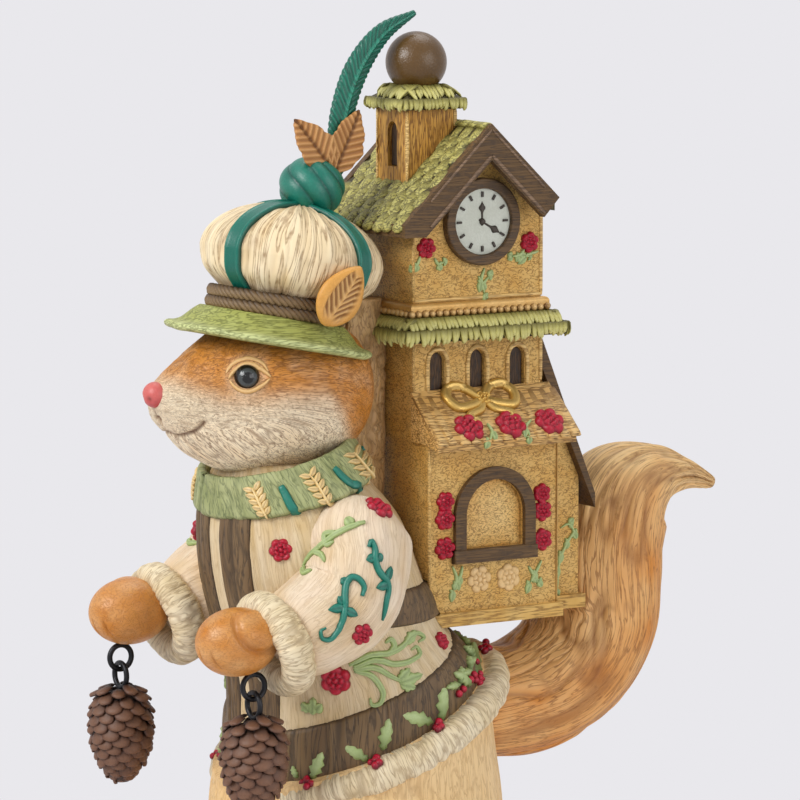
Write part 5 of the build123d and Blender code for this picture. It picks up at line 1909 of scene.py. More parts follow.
@cache
def along_line() -> bpy.types.NodeTree:
    """Tree for templates along a line, which carries the outward direction.

    Returns:
        The tree, made once.
    """
    grown = GrowTree("template_along_line", ("Spacing", "Float"), ("Size", "Vector"), ("Tilt", "Float"))
    bench, given = grown.bench, grown.given
    curve = bench.add("GeometryNodeMeshToCurve", s0=given[0]).outputs[0]
    even_curve = bench.add(
        "GeometryNodeResampleCurve", {"mode": "LENGTH"}, Curve=curve, Length=given["Spacing"]
    ).outputs[0]
    tangent = bench.add("GeometryNodeInputTangent").outputs[0]
    kind = "FunctionNodeAlignRotationToVector"
    rise = bench.add(kind, {"axis": "Z"}, Vector=grown.vector("out")).outputs[0]
    along = bench.add(kind, {"axis": "Y", "pivot_axis": "Z"}, Rotation=rise, Vector=tangent).outputs[0]
    tilt = bench.math("ADD", given["Tilt"], grown.vary("Turn Variation", 0.0))
    return grown.finish(even_curve, along, tilt, given["Size"])


def grow(
    host: Piece, tree: bpy.types.NodeTree, name: str, shape: Piece, finish: ResinFinish, slot: str,
    body: str = FIGURE, keep_shape: bool = False, **values: object
) -> None:
    """Run a tree on a host mesh and keep the result as a plain mesh, painted and tied to its body.

    Args:
        host: Mesh of points or of a line, removed afterwards.
        tree: Tree of on_points or along_line.
        name: Name of the piece.
        shape: Template.
        finish: Paint.
        slot: Not used.
        body: Body that the piece moves with.
        keep_shape: Keep the template for another use.
        values: Inputs of the tree, with underscores for spaces.
    """
    modifier = host.modifiers.new("grow", "NODES")
    modifier.node_group = tree
    given = {label.replace("_", " "): value for label, value in values.items()}
    given |= {"Shape": shape, "Finish": finish.material()}
    for item in tree.interface.items_tree:
        if item.in_out == "INPUT" and item.name in given:
            modifier[item.identifier] = given[item.name]
    host.update_tag()
    graph = bpy.context.evaluated_depsgraph_get()
    mesh = bpy.data.meshes.new_from_object(host.evaluated_get(graph))
    mesh.name = name
    mesh.polygons.foreach_set("use_smooth", [True] * len(mesh.polygons))
    piece = bpy.data.objects.new(name, mesh)
    bpy.context.scene.collection.objects.link(piece)
    bpy.data.objects.remove(host)
    if not keep_shape:
        bpy.data.objects.remove(shape)
    dress(piece, finish, body=body)


class Spots:
    """Marked points for on_points."""

    def __init__(self) -> None:
        """Start with none."""
        self.places: list[tuple[float, ...]] = []
        self.turns: list[tuple[float, ...]] = []
        self.sizes: list[tuple[float, ...]] = []

    def add(self, place: Sequence[float], along: Sequence[float], out: Sequence[float], size: Point) -> None:
        """Add a point in metres whose template's Y lies along and whose Z points out, with a size in mm.

        Args:
            place: Place in metres.
            along: Direction of the template's Y.
            out: Direction of its Z.
            size: Size along X, Y and Z in millimetres.
        """
        z = Vector(out).normalized()
        y = Vector(along)
        y = (y - z * y.dot(z)).normalized()
        turn = Matrix((y.cross(z), y, z)).transposed().to_euler()
        self.places.append(tuple(place))
        self.turns.append(tuple(turn))
        self.sizes.append(metres(*size))

    def host(self) -> Piece:
        """Mesh of the points with their marks.

        Returns:
            The mesh.
        """
        shape = Shape()
        marks = {"turn": np.array(self.turns), "size": np.array(self.sizes)}
        shape.add(np.array(self.places), [], marks)
        return shape.build("spots")


def line_host(points: Array, outs: Array, closed: bool = True) -> Piece:
    """Mesh line in metres with an outward direction at each point.

    Args:
        points: Places in metres.
        outs: Outward direction at each place.
        closed: Join the last point to the first.

    Returns:
        The mesh line.
    """
    mesh = bpy.data.meshes.new("line")
    count = len(points)
    edges = [(k, (k + 1) % count) for k in range(count if closed else count - 1)]
    mesh.from_pydata(points.tolist(), edges, [])
    attribute = mesh.attributes.new("out", "FLOAT_VECTOR", "POINT")
    attribute.data.foreach_set("vector", outs.astype(np.float32).ravel())
    host = bpy.data.objects.new("line", mesh)
    bpy.context.scene.collection.objects.link(host)
    return host


def square_line(half_x: float, half_y: float, centre_y: float, z: float) -> tuple[Array, Array]:
    """Rectangle round the tower in metres, with outward directions.

    Args:
        half_x: Half size along X.
        half_y: Half size along Y.
        centre_y: Middle along Y.
        z: Height.

    Returns:
        Places in metres and the outward direction at each.
    """
    share = np.linspace(0, 1, 24, endpoint=False)[:, None]
    corners = np.array([(1, -1, 0), (1, 1, 0), (-1, 1, 0), (-1, -1, 0)]) * np.array([half_x, half_y, 0])
    lines = [start + (end - start) * share for start, end in zip(corners, np.roll(corners, -1, axis=0))]
    outs = np.repeat(np.array([(1, 0, 0), (0, 1, 0), (-1, 0, 0), (0, -1, 0)], float), 24, axis=0)
    return MM * (np.vstack(lines) + np.array([0, centre_y, z])), outs


def plate(
    outline: Array, frame: Matrix, thick: float, dome: float = 0.0, edge: float = 0.3
) -> tuple[Array, Marks]:
    """Flat plate with a rounded edge.

    Args:
        outline: Star-shaped outline in the frame's XY plane, millimetres.
        frame: Frame whose Z points out of the plate.
        thick: Thickness at the edge.
        dome: Extra height in the middle.
        edge: Rounding of the edge.

    Returns:
        Rows of points in metres and their marks.
    """
    centre = (outline.max(axis=0) + outline.min(axis=0)) / 2
    reach = np.linalg.norm(outline - centre, axis=1).max()
    share = np.concatenate([np.linspace(0.02, 1 - edge / reach, 16), [1 - 0.3 * edge / reach, 1.0, 1.0]])
    share = share[:, None]
    swell = thick + dome * (1 - np.linspace(0, 1, 16) ** 2)
    height = np.concatenate([swell, [thick - 0.3 * edge, thick - edge, -0.4]])[:, None]
    x, y = (centre[k] + (outline[None, :, k] - centre[k]) * share for k in range(2))
    rim = held((share - 0.93) * 14) + 0 * x
    marks = {"depth": (height < thick - 0.9 * edge) * 0.9 + 0 * rim, "high": rim * (height > 0)}
    return placed(frame, grid(x, y, height)), marks


def arch(width: float, height: float) -> Array:
    """Outline of an arched opening in millimetres, its sill on the X axis.

    Args:
        width: Width of the opening.
        height: Height of its crown.

    Returns:
        The outline, two coordinates for each point.
    """
    half = width / 2
    turn = np.linspace(0, math.pi, 36)
    top = np.stack([half * np.cos(turn), height - half + half * np.sin(turn)], 1)
    return even_loop(np.vstack([[(half, 0)], top, [(-half, 0), (half, 0)]]), 72)


def wall_frame(side: int, x: float, y: float, z: float) -> Matrix:
    """Frame on a side wall in millimetres: X to the right for a viewer, Y up and Z out."""
    axes = Matrix(((0, 0, side), (side, 0, 0), (0, 1, 0)))
    return Matrix.Translation((side * x, y, z)) @ axes.to_4x4()


def dense(half: float, low: float, high: float) -> Array:
    """Outline of a rectangle with points about 1.5 mm apart.

    Args:
        half: Half width.
        low: Lower edge.
        high: Upper edge.

    Returns:
        The outline, two coordinates for each point.
    """
    loop = np.array([(-half, low), (half, low), (half, high), (-half, high), (-half, low)])
    points = []
    for start, end in zip(loop[:-1], loop[1:]):
        count = max(2, int(np.linalg.norm(end - start) / 1.5))
        points.extend(start + (end - start) * share for share in np.linspace(0, 1, count, endpoint=False))
    return np.array(points)


def tapered(share: Array) -> Array:
    """Width of a scroll that starts broad and narrows towards its curl."""
    return np.sin(np.pi * np.clip(share, 0.03, 0.985)) ** 0.3 * (1.0 - 0.30 * share)


def even(share: Array) -> Array:
    """Width of a line that is even but for its ends."""
    return 1 - 0.35 * (np.abs(2 * share - 1) ** 12)


@dataclass
class HangingCone:
    """Pine cone on a screw eye, in millimetres."""

    side: int
    y: float
    top_z: float = 110.9
    x: float = 43.0
    radius: float = 13.5
    height: float = 38.0
    scales: int = 118
    scale: Point = (8.0, 5.8, 5.4)
    scale_root: float = 2.9
    core_inset: float = 3.2

    def outline(self, down: float) -> float:
        """Radius of the cone at a share of its height from the top.

        Args:
            down: Share of the height.

        Returns:
            Radius in millimetres.
        """
        stations = (0.0, 0.10, 0.26, 0.44, 0.62, 0.80, 0.93, 1.0)
        radii = (0.46, 0.76, 0.93, 1.0, 0.97, 0.84, 0.64, 0.46)
        return float(np.interp(down, stations, radii)) * self.radius

    def build(self) -> None:
        """Make the core and its overlapping scales, tips down and out."""
        name = f"{side_name(self.side)}_cone"
        top = np.array([self.side * self.x, self.y, self.top_z])
        down = np.linspace(0, 1, 40)
        profile = [
            (max(self.outline(d) - self.core_inset, 1.0), -self.height * (0.01 + 0.97 * d)) for d in down
        ]
        rows = spun(Matrix.Translation(top), np.array(profile), 48)
        core = skin(f"{name}_core", rows, {"depth": np.full(rows.shape[:2], 0.8)})
        dress(core, Finishes.cone, [name], f"{name}_body")
        spots = Spots()
        for k in range(self.scales):
            share = 0.02 + 0.96 * (k + 0.5) / self.scales
            angle = GOLDEN_ANGLE * k
            radius = self.outline(share)
            slope = self.outline(min(share + 0.03, 1)) - self.outline(max(share - 0.03, 0))
            slope = slope / (0.06 * self.height)
            radial = np.array([math.cos(angle), math.sin(angle), 0.0])
            normal = unit(radial + np.array([0, 0, slope]))
            along = unit(np.array([0, 0, -1.0]) + radial * slope)
            width = self.scale[0] * (0.42 + 0.58 * (radius / self.radius))
            place = radial * (radius - self.scale_root) + np.array([0, 0, -self.height * 0.94 * share + 3.2])
            spots.add(MM * (place + top), along + 0.42 * normal, normal, (width, *self.scale[1:]))
        stations = [(0.0, 0.28, 0.0, 0.16), (0.3, 0.42, 0.10, 0.22), (0.62, 0.50, 0.22, 0.24),
                    (0.86, 0.44, 0.34, 0.22), (0.98, 0.28, 0.38, 0.17), (1.04, 0.10, 0.36, 0.08)]
        grow(spots.host(), on_points(), f"{name}_scales", pod("scale", stations, 12), Finishes.cone, "cone",
             f"{name}_body", Size_Variation=0.10, Turn_Variation=0.18, Seed=5 + self.side)


@dataclass
class Rope:
    """Two twisted strands round the hat, in millimetres."""

    radius: float = 26.2
    low: float = 13.4
    rise: float = 4.3
    spacing: float = 2.5
    lobe: Point = (3.9, 7.6, 3.4)
    twist: float = -0.62

    def build(self) -> None:
        """Make the strands."""
        stations = [(-0.5, 0.05, 0, 0.1), (-0.35, 0.28, 0, 0.45), (0, 0.36, 0, 0.62), (0.35, 0.28, 0, 0.45),
                    (0.5, 0.05, 0, 0.1)]
        lobe = pod("lobe", stations, 10, 1.0)
        angle = turns(96)
        flat = grid(np.cos(angle), np.sin(angle), 0.0)
        out = flat @ np.array(HAT_FRAME.to_3x3()).T
        for strand in range(2):
            points = placed(HAT_FRAME, self.radius * flat + np.array([0, 0, self.low + strand * self.rise]))
            name = f"rope_strand_{strand + 1}"
            grow(line_host(points, out), along_line(), name, lobe, Finishes.rope, "rope",
                 keep_shape=strand == 0, Spacing=self.spacing * MM, Size=metres(*self.lobe),
                 Size_Variation=0.06, Tilt=self.twist, Turn_Variation=0.05, Seed=3 + strand)


@dataclass
class House:
    """Clock house on the squirrel's back: roofs, walls and openings, in millimetres."""

    front_y: float = 12.5
    tower_depth: float = 60.5
    tower_half: float = 24.0
    roof_apex: float = 338.0
    pitch: float = 43.5
    roof_half_length: float = 31.0
    course: float = 6.0
    tile_step: float = 7.2
    tile: Point = (7.8, 9.4, 8.6)
    ridge_step: float = 6.2
    ridge_tile: Point = (6.5, 6.6, 5.0)
    bead_z: float = 263.0
    bead_out: float = 2.6
    bead_step: float = 3.25
    bead: Point = (3.1, 3.3, 3.1)
    window: Point = (33.6, 44.25, 163.5)
    window_size: tuple[float, float] = (27.6, 27.2)
    cupola_y: float = 28.85
    slots: tuple[int, ...] = (-1, 0, 1)
    slot_step: float = 19.0
    slot_size: tuple[float, float] = (6.6, 15.6)
    slot_sill_z: float = 231.2
    clock: Point = (25.7, 43.75, 298.5)
    slat_step: float = 5.25
    slat: Point = (5.5, 26.4, 3.6)

    def middle_y(self) -> float:
        """Middle of the tower."""
        return self.front_y + self.tower_depth / 2

    def shingles(self) -> None:
        """Rounded shingles on both slopes of the roof and tiles along the ridge."""
        spots = Spots()
        slant = math.radians(self.pitch)
        rng = np.random.default_rng(17)
        end = self.roof_half_length
        for side, run in ((-1, 42.0), (1, 33.0)):
            along = np.array([0, side * math.cos(slant), -math.sin(slant)])
            out = np.array([0, side * math.sin(slant), math.cos(slant)])
            length = run / math.cos(slant)
            for course in range(int(length / self.course)):
                down = length - 8.4 - course * self.course
                for x in np.arange(-end + 2.2 + self.tile_step / 2 * (course % 2), end - 1.0, self.tile_step):
                    place = np.array([x + rng.uniform(-0.6, 0.6), self.middle_y(), self.roof_apex])
                    place = place + along * (down + rng.uniform(-0.5, 0.5)) - out * 1.0
                    twist = np.array([rng.uniform(-0.10, 0.10), 0, 0])
                    width = self.tile[0] + rng.uniform(-0.9, 0.6)
                    spots.add(MM * place, along + twist, out + 0.13 * along, (width, *self.tile[1:]))
        tile = [(0.0, 0.45, 0.0, 0.10), (0.15, 0.5, 0.02, 0.18), (0.55, 0.51, 0.05, 0.22),
                (0.85, 0.46, 0.07, 0.23), (0.97, 0.34, 0.07, 0.18), (1.03, 0.16, 0.05, 0.08)]
        grow(spots.host(), on_points(), "roof_shingles", pod("tile", tile, 14), Finishes.shingle, "shingle",
             Size_Variation=0.05, Turn_Variation=0.05, Seed=8)
        ridge = [(-0.5, 0.42, 0, 0.3), (-0.3, 0.5, 0, 0.42), (0.3, 0.5, 0, 0.42), (0.5, 0.42, 0, 0.3)]
        points = MM * grid(np.linspace(2 - end, end - 2, 20), self.middle_y(), self.roof_apex - 1.6)
        host = line_host(points, np.tile([0, 0, 1.0], (20, 1)), False)
        grow(host, along_line(), "ridge_tiles", pod("ridge_tile", ridge, 12), Finishes.shingle, "shingle",
             Spacing=self.ridge_step * MM, Size=metres(*self.ridge_tile), Size_Variation=0.05,
             Turn_Variation=0.06, Seed=9)

    def strands(
        self, name: str, half_x: float, half_y: float, centre_y: float, top: float, length: float,
        flare: float, spacing: float, seed: int, lift: float = 0.0
    ) -> None:
        """Ragged straw that hangs round a roof's edge.

        Args:
            name: Name of the piece.
            half_x: Half size of the upper line along X.
            half_y: Half size of the upper line along Y.
            centre_y: Middle of the line.
            top: Height of the upper line.
            length: Length of a strand.
            flare: Slope outwards, as a share of the length.
            spacing: Distance between strands.
            seed: Picks the raggedness.
            lift: Share of a strand that lies above the line.
        """
        spots = Spots()
        rng = np.random.default_rng(seed)
        points, outs = square_line(half_x, half_y, centre_y, top)
        loop = np.vstack([points, points[:1]])
        reach = lengths(loop)
        for layer in range(2):
            for at in np.arange(0, reach[-1], spacing * MM):
                place = [np.interp(at + rng.uniform(0, 0.4) * MM, reach, loop[:, k]) for k in range(3)]
                out = outs[min(int(np.searchsorted(reach, at, side="right")) - 1, len(outs) - 1)]
                sway = np.cross(out, [0, 0, 1]) * rng.uniform(-0.24, 0.24)
                down = np.array([0, 0, -1.0]) + flare * out + sway
                size = length * rng.uniform(0.72, 1.06) * (1 - 0.12 * layer)
                place = np.array(place) - unit(down) * lift * length * MM + out * (0.5 - 0.9 * layer) * MM
                spots.add(place, down, out + np.array([0, 0, flare]), (spacing * 1.5, size, 2.0))
        blade = [(0.0, 0.42, 0.0, 0.30), (0.12, 0.5, 0.1, 0.5), (0.55, 0.46, 0.25, 0.5),
                 (0.85, 0.34, 0.2, 0.4), (1.0, 0.12, 0.0, 0.15)]
        grow(spots.host(), on_points(), name, pod("blade", blade, 8), Finishes.straw, "fringe",
             Size_Variation=0.04, Turn_Variation=0.04, Seed=seed)

    def beads(self) -> None:
        """String of beads under the cornice."""
        half_x, half_y = self.tower_half + self.bead_out, self.tower_depth / 2 + self.bead_out
        line = square_line(half_x, half_y, self.middle_y(), self.bead_z)
        grow(line_host(*line), along_line(), "bead_string", dot("bead"), Finishes.bead, "bead",
             Spacing=self.bead_step * MM, Size=metres(*self.bead), Size_Variation=0.06,
             Turn_Variation=0.3, Seed=4)

    def openings(self, nodes: dict[str, Piece]) -> None:
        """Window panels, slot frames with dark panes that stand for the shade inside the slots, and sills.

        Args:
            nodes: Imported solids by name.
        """
        panels, frames, dark = Shape(), Shape(), Shape()
        x, y, z = self.window
        for side in (1, -1):
            rows, marks = plate(arch(*self.window_size), wall_frame(side, x - 2.0, y, z + 5.2), 0.5, 0.9)
            gap = np.linspace(0, 1, len(rows))[:, None]
            marks["high"] = held(1.1 - 1.3 * gap) + 0 * marks["depth"]
            panels.add_rows(rows, marks)
            sill = Shape()
            board = wall_frame(side, x + 0.4, y, z - 0.4)
            sill.add_rows(*plate(dense(19.8, 0, 5.2), board, 2.6, 0.2, 0.6))
            dress(sill.build(f"{side_name(side)}_window_sill"), Finishes.wood)
            for index in self.slots:
                spot_y = self.middle_y() + self.slot_step * index
                pane = wall_frame(side, self.tower_half - 2.1, spot_y, self.slot_sill_z + 0.1)
                # A dark pane inside each slot: painted shade.
                dark.add_rows(*plate(arch(*self.slot_size), pane, 0.3))
                sill_frame = wall_frame(side, self.tower_half - 0.2, spot_y, self.slot_sill_z)
                frames.add_rows(*plate(dense(5.4, -2.4, 0), sill_frame, 1.6, 0.1, 0.5))
        front = Matrix(((1, 0, 0), (0, 0, -1), (0, 1, 0))).to_4x4()
        # The same painted shade inside the cupola's slot.
        dark.add_rows(*plate(arch(6.6, 17.6), Matrix.Translation((0, 19.7, 320.1)) @ front, 0.3))
        dress(panels.build("window_panels"), Finishes.panel)
        dress(dark.build("slot_panes"), Finishes.slot_shade_pane)
        lines = Relief(Carrier(nodes["mid_storey"]), 0.7)
        turn = np.linspace(0, math.pi, 9)
        for index in self.slots:
            spot_y = self.middle_y() + self.slot_step * index
            top = [(24.2, spot_y - 4.6 * math.cos(t), 243.0 + 5.4 * math.sin(t)) for t in turn]
            anchors = [(24.2, spot_y - 4.6, 231.5), *top, (24.2, spot_y + 4.6, 231.5)]
            lines.stroke(MM * np.array(anchors), 1.0, 0.9, even)
        lines.build("slot_surrounds", Finishes.edge, "house_wall")
        dress(frames.build("slot_sills"), Finishes.edge)

    def edges(self, nodes: dict[str, Piece]) -> None:
        """Pale rounded strips along the corners of the walls and mouldings on the boards.

        Args:
            nodes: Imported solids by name.
        """
        walls = ("mid_storey", "lower_storey", "upper_storey", "cupola")
        lines = Relief(Carrier(*(nodes[name] for name in walls)), 1.6)
        front, back = self.front_y, self.front_y + self.tower_depth
        posts = (
            (24, front, 233, 252), (24, back, 233, 252), (33.6, 14, 144, 209), (33.6, 74.5, 144, 209),
            (24, front, 267.5, 303), (24, back, 267.5, 303), (11.25, 17.6, 314, 343),
            (11.25, 40.1, 336, 343),
        )
        runs = [((x, y, low), (x, y, high)) for x, y, low, high in posts]
        for run in (*runs, ((24, front, 268), (24, back, 268))):
            lines.stroke(MM * np.array(run, float), 0.9, 0.55, even)
        lines.build("corner_strips", Finishes.edge, "house_wall")
        planks = ("barge_boards", "left_apron_roof", "right_apron_roof")
        boards = Relief(Carrier(*(nodes[name] for name in planks)), 1.6)
        slant = math.tan(math.radians(self.pitch))
        for inset, width in ((12.6, 0.8), (2.4, 0.55)):
            top = self.roof_apex - inset
            for shift, end, fall in ((-0.2, 14.0, 28.75), (0.2, 68.0, 25.25)):
                run = [(34.6, self.middle_y() + shift, top), (34.6, end, top - slant * fall)]
                boards.stroke(MM * np.array(run), width, 0.5, even)
        boards.build("board_mouldings", Finishes.board_line, "house_wood")

    def apron_slats(self) -> None:
        """Planks on the apron roofs with rounded ends along the front edge."""
        spots = Spots()
        rng = np.random.default_rng(31)
        for side in (1, -1):
            along, out = APRON_DOWN * to_side(side), APRON_OUT * to_side(side)
            for y in np.arange(13.4, 76.5, self.slat_step):
                place = np.array([side * 25.4, y + rng.uniform(-0.3, 0.3), 230.2])
                spots.add(MM * (place - out * 0.55), along, out, self.slat)
        slat = [(0.0, 0.46, 0.0, 0.20), (0.05, 0.49, 0.0, 0.30), (0.5, 0.5, 0.0, 0.34),
                (0.93, 0.49, 0.0, 0.34), (0.985, 0.44, 0.0, 0.26), (1.0, 0.34, 0.0, 0.14)]
        grow(spots.host(), on_points(), "apron_slats", pod("slat", slat, 12), Finishes.gable, "house_wall",
             Size_Variation=0.015, Turn_Variation=0.012, Seed=12)

    def hands(self, nodes: dict[str, Piece]) -> None:
        """Spade-shaped clock hands on both dials.

        Args:
            nodes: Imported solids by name.
        """
        marks = Relief(Carrier(nodes["clock_dials"]), 0.5)
        centre = np.array(self.clock)

        def spade(share: Array) -> Array:
            """Width of a hand with a spade near its tip."""
            return 0.32 + 0.9 * bell((share - 0.72) / 0.11) - 0.25 * ease(share, 0.88, 1.0)

        for turn, length in ((90.0, 8.2), (-30.0, 10.0)):
            way = np.array([0, math.cos(math.radians(turn)), math.sin(math.radians(turn))])
            anchors = MM * np.array([centre - 1.6 * way, centre + length / 2 * way, centre + length * way])
            marks.stroke(anchors, 1.35, 0.9, spade)
        hub = MM * np.array([centre + np.array([0, -1.2, 0]), centre + np.array([0, 1.2, 0])])
        marks.stroke(hub, 1.5, 1.3)
        marks.build("spade_hands", Finishes.ink, "clock_ink", "clock_hands")

    def build(self, nodes: dict[str, Piece]) -> None:
        """Make the house's pieces and paint its solids.

        Args:
            nodes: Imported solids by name.
        """
        self.shingles()
        self.beads()
        middle = self.middle_y()
        self.strands("fringe_top_straw", 29.2, 35.4, middle, 258.6, 7.6, 0.98, 1.9, 41, 0.5)
        self.strands("fringe_edge_straw", 31.6, 37.9, middle, 257.2, 6.6, 0.04, 1.9, 53)
        self.strands("cupola_rim_straw", 13.9, 13.9, self.cupola_y, 347.4, 5.0, 0.06, 1.7, 43)
        self.strands("cupola_top_straw", 10.2, 10.2, self.cupola_y, 349.7, 9.4, 1.45, 1.7, 47, 0.5)
        self.openings(nodes)
        self.edges(nodes)
        self.apron_slats()
        self.hands(nodes)
        paints = (
            (Finishes.wall, "lower_storey", "mid_storey", "upper_storey", "back_bay"),
            (Finishes.cupola_wood, "cupola"),
            (Finishes.gable, "left_apron_roof", "right_apron_roof"),
            (Finishes.ledge, "house_ledge"),
            (Finishes.wood, "window_frames", "barge_boards", "back_bay_roof"),
            # The roof solids under the shingles and straw take painted shade.
            (Finishes.roof_gap_shade, "main_roof", "fringe_roof", "cupola_roof"),
            (Finishes.bead, "bead_course"),
            (Finishes.clock_rim, "clock_bezels"),
            (Finishes.dial, "clock_dials"),
            (Finishes.ink, "hour_marks"),
            (Finishes.ball, "finial_ball"),
            (Finishes.rope, "hat_rope_band"),
            (Finishes.metal, "left_paw_eye", "right_paw_eye", "left_cone_eye", "right_cone_eye"),
        )
        for finish, *names in paints:
            paint(nodes, finish, *names)


@dataclass
class Ornament:
    """Painted flowers, scrolls, ferns and holly; places are pixels of the view or millimetres."""

    # Pixel and radius.
    coat_roses: Table = (
        (379, 508, 6.4), (281, 550, 5.0), (335.5, 680, 6.6), (362, 634, 4.8), (441, 641, 4.0),
    )
    # Place and radius.
    wall_roses: Table = (
        (39.7, 28.4, 217.8, 7.0), (39.7, 48.2, 217.8, 7.0), (39.7, 66.6, 217.8, 7.0),
        (33.6, 21.05, 169.6, 5.0),
        (33.6, 67.45, 169.6, 5.0), (33.6, 21.05, 181.4, 4.8), (33.6, 67.45, 181.4, 4.8),
        (33.6, 21.3, 188.4, 4.4),
        (33.6, 67.2, 188.4, 4.4), (24, 18.3, 289.0, 4.6), (24, 67.3, 289.0, 4.6),
    )
    # Pixels from here on.
    stems: tuple[tuple[Pixel, ...], ...] = (
        ((452, 566), (456, 578), (453, 590)), ((462, 566), (460, 576), (456, 583)),
        ((541, 560), (536, 571), (530, 582)), ((528, 566), (533, 574), (538, 580)),
        ((560, 528), (568, 524), (573, 531), (568, 540), (562, 552), (558, 566), (557, 588)),
        ((484, 268), (481, 280), (484, 293)), ((478, 276), (482, 283), (488, 277)),
        ((420, 256), (417, 264), (412, 268)), ((434, 258), (438, 264), (443, 262)),
        ((524, 249), (519, 255), (512, 256)), ((538, 251), (541, 258), (545, 259)),
        ((487, 424), (492, 432), (489, 440)), ((531, 420), (526, 428), (529, 436)),
    )
    ferns: tuple[tuple[Pixel, Pixel], ...] = (
        ((253, 488), (267, 518)), ((309, 474), (330, 506)), ((353, 453), (378, 484)),
    )
    stripes: tuple[tuple[Pixel, ...], ...] = (
        ((281, 486), (288, 500), (304, 514)), ((334, 468), (346, 480), (358, 494)),
        ((362, 449), (374, 458), (385, 470)),
    )
    scrolls: tuple[tuple[Pixel, ...], ...] = (
        ((369, 547), (371, 541), (375, 549), (375, 559), (377, 567), (381, 574), (386, 580), (388, 589),
         (386, 600), (384, 611), (382, 620)),
        ((362, 596), (364, 587), (359, 579), (352, 577), (347, 582), (345, 592), (345, 603), (344, 614),
         (341, 624), (336, 633), (330, 639), (323, 639), (321, 631), (326, 628)),
    )
    scroll_leaves: tuple[tuple[Pixel, Pixel], ...] = (
        ((376, 557), (366, 560)), ((376, 553), (382, 562)), ((386, 581), (391, 566)),
        ((388, 584), (376, 588)),
        ((345, 607), (328, 610)), ((344, 609), (358, 616)), ((344, 605), (338, 596)),
        ((347, 584), (341, 578)),
    )
    fans: tuple[tuple[Pixel, ...], ...] = (
        ((349, 665), (370, 655), (389, 653), (401, 647), (410, 637), (418, 633), (423, 638), (418, 642)),
        ((389, 653), (394, 645), (390, 639), (385, 643)),
        ((353, 667), (376, 660), (394, 664), (410, 661), (419, 653), (416, 647), (411, 650)),
        ((353, 669), (376, 668), (389, 675), (402, 682)),
        ((354, 671), (370, 675), (378, 683), (383, 694), (379, 704), (372, 705), (370, 698)),
        ((365, 522), (350, 527), (336, 534), (324, 543), (314, 552), (303, 566)),
        ((336, 532), (325, 535), (327, 545), (334, 541)),
        ((314, 552), (322, 555), (325, 562)), ((303, 566), (306, 573), (312, 570)),
    )
    fan_leaves: tuple[tuple[Pixel, Pixel], ...] = (
        ((399, 683), (423, 674)), ((400, 684), (416, 688)), ((398, 681), (410, 668)),
        ((405, 644), (416, 630)),
        ((313, 715), (313, 697)), ((310, 712), (302, 702)), ((315, 712), (322, 704)),
        ((352, 526), (346, 517)),
    )
    holly_leaves: tuple[tuple[Pixel, Pixel], ...] = (
        ((312, 779), (322, 751)), ((368, 760), (342, 744)), ((382, 750), (390, 718)),
        ((432, 722), (402, 714)),
        ((441, 720), (446, 684)), ((470, 685), (453, 673)), ((477, 673), (468, 646)),
        ((481, 648), (471, 637)),
        ((298, 778), (293, 766)),
    )
    berries: tuple[Pixel, ...] = ((307, 783), (376, 762), (438, 726), (478, 679), (485, 648))

    def roses(self, coat: Carrier, house: Carrier) -> None:
        """Crimson roses on the coat and the house.

        Args:
            coat: Surface of the coat and sleeves.
            house: Surface of the walls.
        """
        relief = Relief(coat)
        for index, (u, v, radius) in enumerate(self.coat_roses):
            relief.rosette(coat.seen((u, v)), radius, 2.6, index, 6)
        relief.build("coat_roses", Finishes.rose, "rose")
        relief = Relief(house)
        for index, (*place, radius) in enumerate(self.wall_roses):
            relief.rosette(MM * np.array(place), radius, 0.32 * radius + 1.2, index, 6)
        relief.build("wall_roses", Finishes.rose, "rose", "house_roses")

    def blossoms(self, house: Carrier) -> None:
        """Cream flowers under the window.

        Args:
            house: Surface of the walls.
        """
        relief = Relief(house)
        for index, pixel in enumerate(((479, 579), (508, 577))):
            relief.rosette(house.seen(pixel), 6.0, 1.5, index + 3, 6)
        relief.build("window_blossoms", Finishes.blossom, "house_wall")

    def sprigs(self, house: Carrier) -> None:
        """Green sprigs and vines on the house.

        Args:
            house: Surface of the walls.
        """
        relief = Relief(house, 0.7)
        for stem in self.stems:
            anchors = np.array([house.seen(pixel) for pixel in stem])
            relief.stroke(anchors, 0.75, 1.0)
            for spot, before in zip(anchors[1:], anchors[:-1]):
                way = spot - before
                lift = np.array([0, 0, 0.35]) * np.linalg.norm(way)
                relief.leaf(spot, spot + 0.7 * way + lift, 1.7, 1.2)
                relief.leaf(spot, spot + 0.7 * way - lift, 1.7, 1.2)
        relief.build("wall_sprigs", Finishes.vine, "scarf")

    def bow(self, house: Carrier) -> None:
        """Gold bow with two hollow loops and curled tails on each apron roof.

        Args:
            house: Surface of the apron roofs and walls.
        """
        relief = Relief(house, 0.6)
        middle = np.array([29.0, 41.6, 227.0])

        def place(across: float, along: float) -> Array:
            """Point over the roof by its distances from the knot."""
            return MM * (middle + np.array([0, across, 0]) + APRON_DOWN * along + APRON_OUT * 1.2)

        loop = ((1.0, -0.5), (5.6, -6.0), (12.0, -7.6), (15.8, -3.0), (13.4, 3.4), (7.0, 3.0), (1.0, 0.6))
        end = ((0.8, 1.0), (3.4, 5.2), (6.8, 6.6), (9.8, 8.2), (9.2, 11.0), (6.6, 10.4))
        for side in (-1, 1):
            for line, width, height in ((loop, 2.2, 2.6), (end, 1.9, 2.2)):
                relief.stroke([place(side * a, b) for a, b in line], width, height, even, 0.3)
        relief.rosette(place(0, 0), 3.8, 3.8, 2, 4)
        relief.build("gold_bow_ribbons", Finishes.gold, "gold", "gold_bows")

